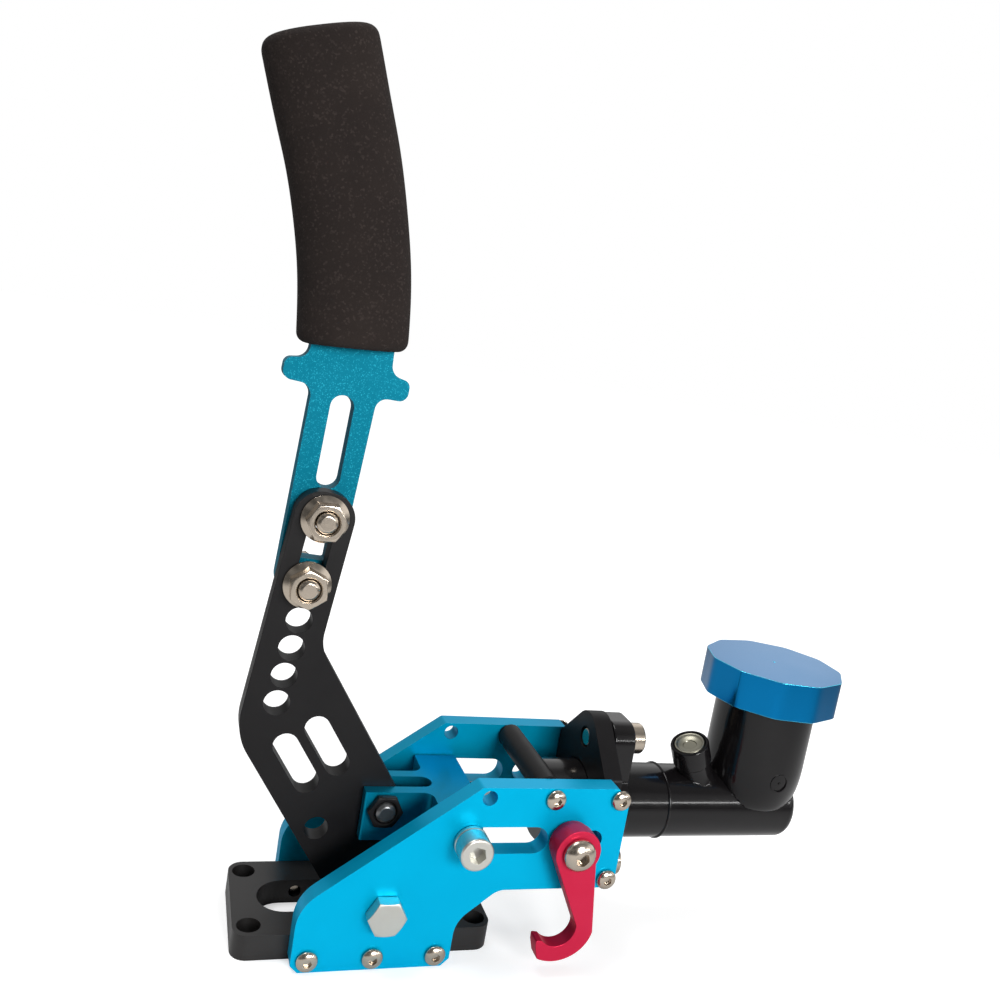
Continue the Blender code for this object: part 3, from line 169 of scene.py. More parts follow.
def blend(tree, factor, a, b):
    node = new_node(tree, "ShaderNodeMix", data_type="RGBA")
    for name, value in (("Factor", factor), ("A", a), ("B", b)):
        feed(tree, node.inputs[name], value)
    return node.outputs["Result"]


# %% World: white for the camera, a dim room with patches for reflections and light
def room_level(tree):
    toward = new_node(tree, "ShaderNodeTexCoord").outputs["Generated"]
    facing = new_node(tree, "ShaderNodeVectorMath", operation="DOT_PRODUCT")
    facing.inputs[1].default_value = Vector((-0.2, -0.95, 0.1)).normalized()
    tree.links.new(toward, facing.inputs[0])
    front = ramp(tree, facing.outputs["Value"], 0.1, 0.85, 1.0, 0.32)
    axes = new_node(tree, "ShaderNodeSeparateXYZ")
    tree.links.new(toward, axes.inputs[0])
    side = ramp(tree, axes.outputs["X"], -0.2, 0.7, 0.65, 1.35)
    patches = ramp(tree, noise(tree, toward, 1.9, 1.0), 0.40, 0.62, 0.35, 1.0, "SMOOTHSTEP")
    return calculate(tree, "MULTIPLY", calculate(tree, "MULTIPLY", front, side), patches)


world = bpy.data.worlds.new("studio")
bpy.context.scene.world = world
world.use_nodes = True
tree = world.node_tree
tree.nodes.clear()
path = new_node(tree, "ShaderNodeLightPath").outputs
seen = calculate(tree, "MAXIMUM", path["Is Camera Ray"], path["Is Transmission Ray"])
level = new_node(tree, "ShaderNodeMix")
for name, value in (("Factor", seen), ("A", room_level(tree)), ("B", 1.0)):
    feed(tree, level.inputs[name], value)
surround = new_node(tree, "ShaderNodeBackground")
surround.inputs["Color"].default_value = (1, 1, 1, 1)
tree.links.new(level.outputs["Result"], surround.inputs["Strength"])
tree.links.new(surround.outputs[0], new_node(tree, "ShaderNodeOutputWorld").inputs["Surface"])
print("world nodes", len(tree.nodes))

# %% [markdown]
# ## Finishes
# Every finish is a small tree of shader nodes that reads Object coordinates, so
# its grain stays the same size on every piece. Two effects are shared and are
# built once as node groups. `worn_tone` breaks up a flat colour with clouds and
# fine scratches, and `blasted_grain` gives the tiny bumps of a bead-blasted or
# moulded skin. The groups only put out colours, values and heights, and the
# shader itself stays in each material.

# %% Node group: worn tone
def group_sockets(group, ins, outs):
    for name, kind, default in ins:
        socket = group.interface.new_socket(name, in_out="INPUT", socket_type=kind)
        if default is not None:
            socket.default_value = default
    for name, kind in outs:
        group.interface.new_socket(name, in_out="OUTPUT", socket_type=kind)
    return group.nodes.new("NodeGroupInput"), group.nodes.new("NodeGroupOutput")


def worn_tone_group():
    group = bpy.data.node_groups.new("worn_tone", "ShaderNodeTree")
    ins = [("Vector", "NodeSocketVector", None), ("Tone", "NodeSocketColor", (0.5, 0.5, 0.5, 1)),
           ("Worn", "NodeSocketColor", (0.6, 0.6, 0.6, 1)), ("Cloud", "NodeSocketFloat", 0.25),
           ("Scratch", "NodeSocketFloat", 0.15), ("Roughness", "NodeSocketFloat", 0.4)]
    outs = [("Colour", "NodeSocketColor"), ("Roughness", "NodeSocketFloat"), ("Height", "NodeSocketFloat")]
    source, sink = group_sockets(group, ins, outs)
    given = source.outputs
    stretch = new_node(group, "ShaderNodeMapping")
    stretch.inputs["Rotation"].default_value = (0.2, 0.5, 0.35)
    stretch.inputs["Scale"].default_value = (60, 900, 1400)
    group.links.new(given["Vector"], stretch.inputs["Vector"])
    lines = ramp(group, noise(group, stretch.outputs[0], 1.0), 0.64, 0.74)
    marks = calculate(group, "MULTIPLY", lines, given["Scratch"])
    clouds = ramp(group, noise(group, given["Vector"], 38, 3, 0.6), 0.35, 0.75)
    veil = calculate(group, "MULTIPLY_ADD", clouds, given["Cloud"], marks)
    veil.node.use_clamp = True
    rough = calculate(group, "MULTIPLY_ADD", veil, 0.3, given["Roughness"])
    feed(group, sink.inputs["Colour"], blend(group, veil, given["Tone"], given["Worn"]))
    feed(group, sink.inputs["Roughness"], rough)
    feed(group, sink.inputs["Height"], marks)
    return group


# %% Node group: blasted grain
def blasted_grain_group():
    group = bpy.data.node_groups.new("blasted_grain", "ShaderNodeTree")
    ins = [("Vector", "NodeSocketVector", None), ("Scale", "NodeSocketFloat", 1800.0),
           ("Sparkle", "NodeSocketFloat", 0.3)]
    outs = [("Height", "NodeSocketFloat"), ("Sparkle", "NodeSocketFloat")]
    source, sink = group_sockets(group, ins, outs)
    given = source.outputs
    feed(group, sink.inputs["Height"], noise(group, given["Vector"], given["Scale"], 2, 0.7))
    flecks = new_node(group, "ShaderNodeTexVoronoi")
    group.links.new(given["Vector"], flecks.inputs["Vector"])
    group.links.new(given["Scale"], flecks.inputs["Scale"])
    pick = new_node(group, "ShaderNodeSeparateColor")
    group.links.new(flecks.outputs["Color"], pick.inputs["Color"])
    bright = ramp(group, pick.outputs["Red"], 0.80, 0.98)
    feed(group, sink.inputs["Sparkle"], calculate(group, "MULTIPLY", bright, given["Sparkle"]))
    return group


WORN_TONE = worn_tone_group()
BLASTED_GRAIN = blasted_grain_group()


# %% A finish for metal, lacquer or foam, built from the two groups
def surface_finish(name, tone, worn, metallic, roughness, cloud=0.25, scratch=0.15, grain=1800.0,
                   grain_depth=0.00002, sparkle=0.0, sparkle_tone=(1, 1, 1), coat=0.0, specular=0.5,
                   gloss=(1, 1, 1)):
    made = bpy.data.materials.new(name)
    made.use_nodes = True
    tree = made.node_tree
    shader = tree.nodes["Principled BSDF"]
    shader.inputs["Metallic"].default_value = metallic
    shader.inputs["Specular IOR Level"].default_value = specular
    shader.inputs["Specular Tint"].default_value = (*gloss, 1)
    shader.inputs["Coat Weight"].default_value = coat
    shader.inputs["Coat Roughness"].default_value = 0.08
    place = new_node(tree, "ShaderNodeTexCoord").outputs["Object"]
    tone_group = new_node(tree, "ShaderNodeGroup", node_tree=WORN_TONE)
    given = (("Vector", place), ("Tone", (*tone, 1)), ("Worn", (*worn, 1)), ("Cloud", cloud),
             ("Scratch", scratch), ("Roughness", roughness))
    for socket, value in given:
        feed(tree, tone_group.inputs[socket], value)
    grain_group = new_node(tree, "ShaderNodeGroup", node_tree=BLASTED_GRAIN)
    for socket, value in (("Vector", place), ("Scale", grain), ("Sparkle", sparkle)):
        feed(tree, grain_group.inputs[socket], value)
    colour = tone_group.outputs["Colour"]
    if sparkle:
        colour = blend(tree, grain_group.outputs["Sparkle"], colour, (*sparkle_tone, 1))
    tree.links.new(colour, shader.inputs["Base Color"])
    tree.links.new(tone_group.outputs["Roughness"], shader.inputs["Roughness"])
    bump = new_node(tree, "ShaderNodeBump")
    bump.inputs["Distance"].default_value = grain_depth
    bump.inputs["Strength"].default_value = 1.0
    tree.links.new(grain_group.outputs["Height"], bump.inputs["Height"])
    tree.links.new(bump.outputs["Normal"], shader.inputs["Normal"])
    print("finish", name)
    return made


# %% The finishes of this object
SATIN = {"cloud": 0.3, "scratch": 0.10, "grain": 2600, "grain_depth": 0.000010}
DARK = {"cloud": 0.4, "scratch": 0.12, "grain": 2400, "grain_depth": 0.000015}
STEEL = {"scratch": 0.2, "grain": 1500, "grain_depth": 0.000012}
CYAN = surface_finish("cyan_anodised", (0.0, 0.38, 0.64), (0.0, 0.44, 0.70), 0.45, 0.34,
                      **SATIN, gloss=(0.0, 0.7, 1.0))
# A darker copy of the plate cyan: painted shade for the rear plate, whose inner face the front plate shades.
CYAN_PAINTED_SHADE_REAR = surface_finish("cyan_anodised_painted_shade", (0.0, 0.28, 0.46), (0.0, 0.34, 0.52), 0.45, 0.36,
                           **SATIN, gloss=(0.0, 0.7, 1.0))
CYAN_DEEP = surface_finish("cyan_anodised_deep", (0.0, 0.21, 0.34), (0.0, 0.26, 0.40), 0.70, 0.36,
                           **SATIN, gloss=(0.1, 0.7, 1.0))
# A lighter cyan for chamfers: a painted highlight that draws a bright line along milled edges.
CYAN_PAINTED_HIGHLIGHT = surface_finish("cyan_painted_edge_highlight", (0.10, 0.62, 0.82), (0.30, 0.75, 0.90), 0.9, 0.30,
                          cloud=0.5, scratch=0.10, grain=900, grain_depth=0.000010)
TEAL = surface_finish("teal_sparkle_anodised", (0.0, 0.108, 0.170), (0.0, 0.145, 0.22), 0.25, 0.46,
                      cloud=0.35, scratch=0.08, grain=3000, grain_depth=0.000025, sparkle=0.55,
                      sparkle_tone=(0.02, 0.36, 0.48), gloss=(0.1, 0.8, 1.0))
AZURE = surface_finish("azure_polished_anodised", (0.0, 0.17, 0.42), (0.0, 0.21, 0.48), 0.90, 0.14,
                       cloud=0.2, scratch=0.06, grain=3000, grain_depth=0.000004)
# A lighter azure for the cap's chamfers: a painted highlight along its top edge.
AZURE_PAINTED_HIGHLIGHT = surface_finish("azure_painted_edge_highlight", (0.06, 0.60, 0.86), (0.12, 0.66, 0.88), 0.9, 0.22,
                           cloud=0.4, scratch=0.06, grain=900, grain_depth=0.000004)
CRIMSON = surface_finish("crimson_anodised", (0.52, 0.012, 0.050), (0.56, 0.03, 0.08), 0.45, 0.32,
                         **SATIN, gloss=(1.0, 0.35, 0.4))
BLACK = surface_finish("black_satin_anodised", (0.004, 0.0035, 0.004), (0.009, 0.008, 0.008), 0.0, 0.42,
                       **DARK, specular=0.20)
BLACK_BASE = surface_finish("black_base_anodised", (0.010, 0.009, 0.009), (0.020, 0.018, 0.017), 0.1, 0.38,
                            **DARK, specular=0.50)
LACQUER = surface_finish("black_gloss_lacquer", (0.004, 0.0035, 0.004), (0.010, 0.009, 0.009), 0.0, 0.13,
                         cloud=0.35, scratch=0.10, grain=900, grain_depth=0.000015, coat=0.25, specular=0.20)
STAINLESS = surface_finish("stainless_steel", (0.55, 0.48, 0.40), (0.36, 0.29, 0.22), 1.0, 0.15,
                           cloud=0.35, **STEEL)
ZINC = surface_finish("bright_zinc", (0.66, 0.65, 0.60), (0.42, 0.40, 0.35), 1.0, 0.30,
                      cloud=0.4, scratch=0.2, grain=1200, grain_depth=0.000016)
OLIVE = surface_finish("olive_zinc", (0.26, 0.25, 0.20), (0.16, 0.15, 0.12), 1.0, 0.34,
                       cloud=0.4, **STEEL)
OXIDE = surface_finish("dark_oxide_steel", (0.12, 0.125, 0.13), (0.30, 0.30, 0.29), 0.9, 0.24,
                       cloud=0.3, **STEEL)
RUBBER = surface_finish("seal_rubber", (0.015, 0.015, 0.015), (0.03, 0.03, 0.03), 0.0, 0.75,
                        cloud=0.3, scratch=0.0, grain=1500, grain_depth=0.00002, specular=0.3)
FOAM = surface_finish("foam_rubber", (0.014, 0.010, 0.009), (0.030, 0.023, 0.020), 0.0, 0.92,
                      cloud=0.5, scratch=0.0, grain=1500, grain_depth=0.00025, sparkle=0.35,
                      sparkle_tone=(0.055, 0.042, 0.038), specular=0.2)


# %% [markdown]
# ## Workshop helpers
# The real parts come from two machines. A lathe turns round parts, and a mill
# cuts flat parts from plate. `turned` works like the lathe: a disc is extruded
# and scaled ring by ring. `plate` works like the mill: an outline is filled and
# extruded, and holes are bored with Boolean cutters. `break_edges` then gives
# every sharp edge its small chamfer, because a real edge always catches light.

# %% Selection and naming
def release():
    if bpy.context.object and bpy.context.object.mode != "OBJECT":
        bpy.ops.object.mode_set(mode="OBJECT")
    bpy.ops.object.select_all(action="DESELECT")


def take(obj):
    release()
    obj.select_set(True)
    bpy.context.view_layer.objects.active = obj
    return obj


def new_piece(name):
    obj = bpy.context.object
    obj.name = name
    obj.data.name = name
    return obj


# %% Lathe: rings of (radius, height), from one end to the other
def turned(name, rings, segments=48):
    release()
    r, h = rings[0]
    bpy.ops.mesh.primitive_circle_add(vertices=segments, radius=r, fill_type="NGON", location=(0, 0, 0))
    obj = new_piece(name)
    bpy.ops.object.mode_set(mode="EDIT")
    bpy.ops.transform.translate(value=(0, 0, h))
    for (r1, h1), (r2, h2) in zip(rings, rings[1:]):
        bpy.ops.mesh.extrude_region_move(TRANSFORM_OT_translate={"value": (0, 0, h2 - h1)})
        if abs(r2 - r1) > 1e-8:
            bpy.ops.transform.resize(value=(r2 / r1, r2 / r1, 1))
    bpy.ops.mesh.select_all(action="SELECT")
    bpy.ops.mesh.normals_make_consistent(inside=False)
    bpy.ops.object.mode_set(mode="OBJECT")
    return obj


# %% Mill: an outline, its thickness and the plane it lies in
PLANES = {"XY": (0, 0, 0), "XZ": (math.pi / 2, 0, 0), "YZ": (math.pi / 2, 0, math.pi / 2)}


def plate(name, outline, thickness, plane, centre):
    release()
    bpy.ops.mesh.primitive_circle_add(vertices=len(outline), radius=0.01, fill_type="NGON")
    obj = new_piece(name)
    for vertex, (a, b) in zip(obj.data.vertices, outline):
        vertex.co = (a, b, -thickness / 2)
    bpy.ops.object.mode_set(mode="EDIT")
    bpy.ops.mesh.select_all(action="SELECT")
    bpy.ops.mesh.extrude_region_move(TRANSFORM_OT_translate={"value": (0, 0, thickness)})
    bpy.ops.mesh.select_all(action="SELECT")
    bpy.ops.mesh.normals_make_consistent(inside=False)
    bpy.ops.object.mode_set(mode="OBJECT")
    obj.rotation_euler = PLANES[plane]
    obj.location = centre
    return settle(obj)


def settle(obj):
    take(obj)
    bpy.ops.object.transform_apply(location=True, rotation=True, scale=True)
    return obj


def stand(obj, direction, place, twist=0.0):
    obj.data.transform(Matrix.Rotation(twist, 4, "Z"))
    obj.rotation_euler = Vector(direction).to_track_quat("Z", "Y").to_euler()
    obj.location = place
    return settle(obj)


# %% Boolean cutters
def carve(obj, *tools, operation="DIFFERENCE"):
    for tool in tools:
        take(obj)
        step = obj.modifiers.new("carve", "BOOLEAN")
        step.operation = operation
        step.solver = "EXACT"
        step.object = tool
        bpy.ops.object.modifier_apply(modifier=step.name)
        bpy.data.objects.remove(tool, do_unlink=True)
    return obj


def drill(place, direction, radius, reach, segments=36):
    tool = turned("drill", [(radius, -reach), (radius, reach)], segments)
    return stand(tool, direction, place)


def hex_tool(across, low, high):
    release()
    bpy.ops.mesh.primitive_cylinder_add(vertices=6, radius=across / math.sqrt(3), depth=high - low)
    tool = new_piece("hex_tool")
    tool.location = (0, 0, (high + low) / 2)
    return settle(tool)


# %% Edges: a small chamfer, and normals that keep the flats flat
def break_edges(obj, width, segments=2, angle=34, painted_highlight=False):
    take(obj)
    # When asked, the chamfer faces take material slot 1, a lighter finish that paints a highlight along each
    # edge.
    if painted_highlight:
        obj.data.materials.append(None)
        obj.data.materials.append(None)
    chamfer = obj.modifiers.new("chamfer", "BEVEL")
    chamfer.width = width
    chamfer.segments = segments
    chamfer.limit_method = "ANGLE"
    chamfer.angle_limit = math.radians(angle)
    chamfer.miter_outer = "MITER_ARC"
    chamfer.material = 1 if painted_highlight else -1
    bpy.ops.object.modifier_apply(modifier=chamfer.name)
    return flatten_normals(obj, angle)


def flatten_normals(obj, angle=34):
    take(obj)
    bpy.ops.object.shade_smooth_by_angle(angle=math.radians(angle))
    even = obj.modifiers.new("even", "WEIGHTED_NORMAL")
    even.keep_sharp = True
    even.weight = 90
    bpy.ops.object.modifier_apply(modifier=even.name)
    return obj


# %% Outlines
def arc_points(x, y, rx, ry, start, stop, count):
    points = []
    for i in range(count + 1):
        a = math.radians(start + (stop - start) * i / count)
        points.append((x + rx * math.cos(a), y + ry * math.sin(a)))
    return points


def rounded(corners, step=math.radians(7)):
    points = []
    for i, (x, y, r) in enumerate(corners):
        here = Vector((x, y))
        back = (Vector(corners[i - 1][:2]) - here).normalized()
        ahead = (Vector(corners[(i + 1) % len(corners)][:2]) - here).normalized()
        opening = back.angle(ahead)
        if r <= 0 or opening > math.radians(179):
            points.append((x, y))
            continue
        start = here + back * r / math.tan(opening / 2)
        stop = here + ahead * r / math.tan(opening / 2)
        centre = here + (back + ahead).normalized() * (r / math.sin(opening / 2))
        sweep = math.pi - opening
        count = max(2, math.ceil(sweep / step))
        first = start - centre
        side = 1 if first.cross(stop - centre) > 0 else -1
        for k in range(count + 1):
            a = side * sweep * k / count
            points.append((centre.x + first.x * math.cos(a) - first.y * math.sin(a),
                           centre.y + first.x * math.sin(a) + first.y * math.cos(a)))
    return points


def slot_outline(p, q, r, count=14):
    heading = math.atan2(q[1] - p[1], q[0] - p[0])
    points = []
    for (cx, cy), start in ((q, heading - math.pi / 2), (p, heading + math.pi / 2)):
        for i in range(count + 1):
            a = start + math.pi * i / count
            points.append((cx + r * math.cos(a), cy + r * math.sin(a)))
    return points


def slot_tool(p, q, r, thickness, plane, centre):
    return plate("slot_tool", slot_outline(p, q, r), thickness, plane, centre)


# %% Dressing: material, body and the solid nodes that a piece stands for
def dress(obj, finish, body, *stands_for, slot=None, edge=None):
    while len(obj.data.materials) < (2 if edge else 1):
        obj.data.materials.append(None)
    obj.data.materials[0] = finish
    if edge:
        obj.data.materials[1] = edge
    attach(obj, body)
    if stands_for:
        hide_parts(*stands_for)
    print(obj.name, "on", body, "has", len(obj.data.polygons), "faces")
    release()
    return obj


# %% [markdown]
# ## Base block
# The base is a 10 mm aluminium block with a long slot, four mounting holes and
# three tapped holes along each side. It could be one extruded profile, and it is
# milled here in the same order as the real one: outline, slot, holes, chamfer.

# %% Base block
def base_block():
    x0, x1, y1 = -0.053, 0.047, PLATE_IN - GAP
    corners = [(x0, -y1, 0.006), (x1, -y1, 0.006), (x1, y1, 0.006), (x0, y1, 0.006)]
    obj = plate("base", rounded(corners), 0.010, "XY", spot(0, 0, 0.005))
    carve(obj, slot_tool((-0.0325, 0), (0.0265, 0), 0.0105, 0.03, "XY", spot(0, 0, 0.005)))
    for x in (-0.047, 0.041):
        for y in (-0.018, 0.018):
            carve(obj, drill(spot(x, y, 0.005), (0, 0, 1), 0.0045, 0.02))
    for x in BASE_SCREWS:
        for side in (-1, 1):
            carve(obj, drill(spot(x, side * PLATE_IN, 0.005), (0, 1, 0), TAPPED, 0.016, 24))
    return break_edges(obj, 0.0005)


dress(base_block(), BLACK_BASE, "frame", "base_block", slot="black_anodised")

# %% [markdown]
# ## Side plates
# Both plates share one outline: a foot on the base, a slanted back edge, a
# shelf for the cylinder and a guide slot for the slider pin. Milled edges are
# crisp with a fine chamfer, and the chamfer is painted a lighter cyan, a painted
# highlight for the bright line along each edge.

# %% Side plates
def side_plate(name, side):
    c, f = 0.0055, 0.003
    rise, fall = math.tan(math.radians(37.1)), math.tan(math.radians(40.4))
    back_top = 0.0735 - rise * (0.0303 + 0.0324)
    foot_top = 0.0313 - fall * (0.0432 - 0.028)
    corners = [(f - 0.0324, 0, 0), (0.028 - f, 0, 0), (0.028, f, 0), (0.028, foot_top, 0.012),
               (0.0432, 0.0313, 0.008), (0.092 - c, 0.0313, 0.0006), (0.092, 0.0313 + c, 0.0006),
               (0.092, 0.0735 - c, 0.0006), (0.092 - c, 0.0735, 0.0006), (0.0303, 0.0735, 0.002),
               (-0.0324, back_top, 0.016), (-0.0324, f, 0)]
    mid = side * (PLATE_IN + PLATE_OUT) / 2
    obj = plate(name, rounded(corners), THICK, "XZ", spot(0, mid, 0))
    carve(obj, slot_tool((0.0281, AXIS_Z), (0.0545, AXIS_Z), 0.0055, 0.03, "XZ", spot(0, mid, 0)))
    holes = [(0, PIVOT_Z, CLEAR), (HOOK_X, AXIS_Z, CLEAR), (HOOK_X + 0.010, AXIS_Z, 0.0040),
             (0.0335, 0.0693, 0.0030), (CROSS_X, CROSS_Z, TAPPED)]
    holes += [(x, 0.005, TAPPED) for x in BASE_SCREWS]
    holes += [(BRACKET_X, AXIS_Z + s * BRACKET_SPAN, TAPPED) for s in (-1, 1)]
    for x, z, r in holes:
        carve(obj, drill(spot(x, mid, z), (0, 1, 0), r, 0.02))
    return break_edges(obj, 0.0004, painted_highlight=True)


# The rear plate takes the darker copy of the cyan, a painted shade.
for word, side, finish in (("front", -1, CYAN), ("rear", 1, CYAN_PAINTED_SHADE_REAR)):
    dress(side_plate("plate_" + word, side), finish, "frame", "side_plate_" + word, slot="cyan_anodised",
          edge=CYAN_PAINTED_HIGHLIGHT)

# %% [markdown]
# ## Lever arm
# The lower arm is cut from 8 mm plate with a bend at the elbow, two slanted
# slots, a row of round holes and one slot for the clamp bolts. It is satin
# black. The outline comes from two leaning strips whose sides meet at the bend.

# %% Lower arm
def meet(p, lean_p, q, lean_q):
    px, pz, qx, qz = math.sin(lean_p), math.cos(lean_p), math.sin(lean_q), math.cos(lean_q)
    t = ((q[0] - p[0]) * qz - (q[1] - p[1]) * qx) / (px * qz - pz * qx)
    return (p[0] + px * t, p[1] + pz * t)


def lever_arm():
    foot, half, top = (0, PIVOT_Z), 0.01115, 0.0768
    back = strip_point(foot, FOOT_LEAN, 0, -0.0188)
    front = strip_point(foot, FOOT_LEAN, 0, 0.0233)
    upper_back = strip_point(ELBOW, UPPER_LEAN, 0, -half)
    upper_front = strip_point(ELBOW, UPPER_LEAN, 0, half)
    corners = [(*meet(back, FOOT_LEAN, (0, 0.0085), math.pi / 2), 0.0125), (0.012, 0.0085, 0.0125),
               (*meet(front, FOOT_LEAN, (0.012, 0), 0), 0.010),
               (*meet(front, FOOT_LEAN, upper_front, UPPER_LEAN), 0.015),
               (*strip_point(ELBOW, UPPER_LEAN, top, half), 0.0098),
               (*strip_point(ELBOW, UPPER_LEAN, top, -half), 0.0098),
               (*meet(back, FOOT_LEAN, upper_back, UPPER_LEAN), 0.025)]
    here = spot(0, 0, 0)
    obj = plate("arm_lower", rounded(corners, math.radians(4)), THICK, "XZ", here)
    slots = [(LOWER_NUT, UPPER_NUT)]
    for side in (0.0080, -0.0052):
        slots.append([strip_point(foot, FOOT_LEAN, up, side) for up in (0.0481, 0.0652)])
    for low, high in slots:
        carve(obj, slot_tool(low, high, 0.00485, 0.03, "XZ", here))
    holes = [(0, PIVOT_Z, CLEAR), (0, AXIS_Z, CLEAR)]
    holes.append((*strip_point(foot, FOOT_LEAN, 0.0282, -0.0106), 0.00465))
    holes += [(*strip_point(ELBOW, UPPER_LEAN, -0.0049 + i * 0.0109, 0.0007), 0.0049) for i in range(4)]
    for x, z, r in holes:
        carve(obj, drill(spot(x, 0, z), (0, 1, 0), r, 0.02))
    return break_edges(obj, 0.0004)


dress(lever_arm(), BLACK, "lever", "lower_arm", slot="black_anodised")

# %% [markdown]
# ## Upper bar and the line of the grip
# The upper bar is bolted behind the arm. It has a long slot, two ears that stop
# the hand and a curved tang that runs up inside the foam. `grip_line` gives the
# middle of the tang: a long gentle bend and then a straight end.

# %% Upper bar
GRIP_FOOT = strip_point(BAR_FOOT, BAR_LEAN, 0.0622, 0)
TANG_HALF = 0.009
GRIP_BEND_R, GRIP_TURN, GRIP_STRAIGHT = 0.255, math.radians(16.5), 0.0335
GRIP_LENGTH = GRIP_BEND_R * GRIP_TURN + GRIP_STRAIGHT
GRIP_LEAN = math.radians(-3.5)


def grip_line(distance):
    arc = min(distance, GRIP_BEND_R * GRIP_TURN)
    lean = GRIP_LEAN - arc / GRIP_BEND_R
    x = GRIP_FOOT[0] - GRIP_BEND_R * (math.cos(GRIP_LEAN) - math.cos(lean))
    z = GRIP_FOOT[1] + GRIP_BEND_R * (math.sin(-lean) - math.sin(-GRIP_LEAN))
    rest = distance - arc
    return x + rest * math.sin(lean), z + rest * math.cos(lean), lean


def tang_edge(side, count=24):
    points = []
    for i in range(count + 1):
        x, z, lean = grip_line(0.004 + (GRIP_LENGTH - 0.016) * i / count)
        points.append(strip_point((x, z), lean, 0, side))
    return points


def upper_bar():
    dx, dz = LOWER_NUT[0] - BAR_FOOT[0], LOWER_NUT[1] - BAR_FOOT[1]
    bottom = dx * math.sin(BAR_LEAN) + dz * math.cos(BAR_LEAN) - 0.008
    shoulder = 0.0646
    front = [(0.0120, 0.0463, 0.0045), (0.0233, 0.0466, 0.0034), (0.0231, 0.0542, 0.0028),
             (0.0155, 0.0556, 0.0045), (0.0148, shoulder, 0.0004), (TANG_HALF, shoulder, 0.0004)]
    rear = [(-side, up, r) for side, up, r in reversed([(0.0122, bottom, 0.008)] + front)]
    right, left = ([(*strip_point(BAR_FOOT, BAR_LEAN, up, side), r) for side, up, r in half]
                   for half in ([(0.0102, bottom, 0.008)] + front, rear))
    up_edge, down_edge = tang_edge(TANG_HALF), tang_edge(-TANG_HALF)
    tang = [(x, z, 0) for x, z in up_edge[:-1]] + [(*up_edge[-1], 0.003), (*down_edge[-1], 0.003)]
    tang += [(x, z, 0) for x, z in reversed(down_edge[:-1])]
    here = spot(0, BAR_MID_Y, 0)
    obj = plate("bar_upper", rounded(right + tang + left), THICK, "XZ", here)
    ends = [strip_point(BAR_FOOT, BAR_LEAN, up, 0) for up in (0.0140, 0.0403)]
    carve(obj, slot_tool(ends[0], ends[1], 0.0044, 0.03, "XZ", here))
    half = 0.00475
    window = [(-0.0176, -half, 0.0008), (-0.0176, half, 0.0008), (half, half, 0.0045), (half, -half, 0.0045)]
    window = [(*strip_point(BAR_FOOT, BAR_LEAN, up, side), r) for up, side, r in window]
    carve(obj, plate("window_tool", rounded(window), 0.03, "XZ", here))
    carve(obj, drill(spot(LOWER_NUT[0], BAR_MID_Y, LOWER_NUT[1]), (0, 1, 0), CLEAR, 0.02))
    return break_edges(obj, 0.0005, painted_highlight=True)


# The bar's chamfers get the lighter cyan, a painted highlight.
dress(upper_bar(), TEAL, "lever", "upper_bar", slot="teal_anodised", edge=CYAN_PAINTED_HIGHLIGHT)

# %% [markdown]
# ## Foam grip
# The grip is a thick foam tube pushed over the tang. Its section is a fat oval,
# its rims are soft, and its skin has an open, felt-like grain. A straight oval
# is extruded ring by ring, its ends are rolled in, and then every ring is laid
# on the bent line of the tang. Small lumps keep it from looking machined.

# %% Foam grip
def foam_grip():
    half_wide, half_deep, soft = 0.02025, 0.0150, 0.0038
    stations = [soft * (1 - math.cos(math.radians(a))) for a in (0, 18, 36, 54, 72, 90)]
    insets = [soft * (1 - math.sin(math.radians(a))) for a in (0, 18, 36, 54, 72, 90)]
    count = 46
    body = [soft + (GRIP_LENGTH - 2 * soft) * i / count for i in range(1, count)]
    heights = stations + body + [GRIP_LENGTH - s for s in reversed(stations)]
    shrink = insets + [0] * len(body) + insets[::-1]
    release()
    bpy.ops.mesh.primitive_circle_add(vertices=72, radius=1, fill_type="NGON")
    obj = new_piece("grip_foam")
    bpy.ops.object.mode_set(mode="EDIT")
    bpy.ops.mesh.inset(thickness=0.18)
    bpy.ops.mesh.inset(thickness=0.25)
    bpy.ops.mesh.select_all(action="SELECT")
    for low, high in zip(heights, heights[1:]):
        bpy.ops.mesh.extrude_region_move(TRANSFORM_OT_translate={"value": (0, 0, high - low)})
    bpy.ops.mesh.select_all(action="SELECT")
    bpy.ops.mesh.normals_make_consistent(inside=False)
    bpy.ops.object.mode_set(mode="OBJECT")
    for vertex in obj.data.vertices:
        turn, reach = math.atan2(vertex.co.y, vertex.co.x), math.hypot(vertex.co.x, vertex.co.y)
        height = vertex.co.z
        ring = min(range(len(heights)), key=lambda k: abs(heights[k] - height))
        wide, deep = half_wide - shrink[ring], half_deep - shrink[ring]
        cos, sin = math.cos(turn), math.sin(turn)
        a = math.copysign(abs(cos) ** 0.8, cos) * wide * reach
        b = math.copysign(abs(sin) ** 0.8, sin) * deep * reach
        lump = 1 + 0.004 * math.sin(2.3 * turn + 90 * height) + 0.003 * math.sin(3 * turn - 160 * height)
        x, z, lean = grip_line(height)
        px, pz = strip_point((x, z), lean, 0, a * lump)
        vertex.co = (PIVOT_X + px, BAR_MID_Y + b * lump, pz)
    take(obj)
    smooth = obj.modifiers.new("smooth", "SUBSURF")
    smooth.levels = smooth.render_levels = 1
    bpy.ops.object.modifier_apply(modifier=smooth.name)
    bpy.ops.object.shade_smooth()
    return obj


grip = dress(foam_grip(), FOAM, "lever", "foam_grip", slot="foam")
print("grip length", round(GRIP_LENGTH, 4))

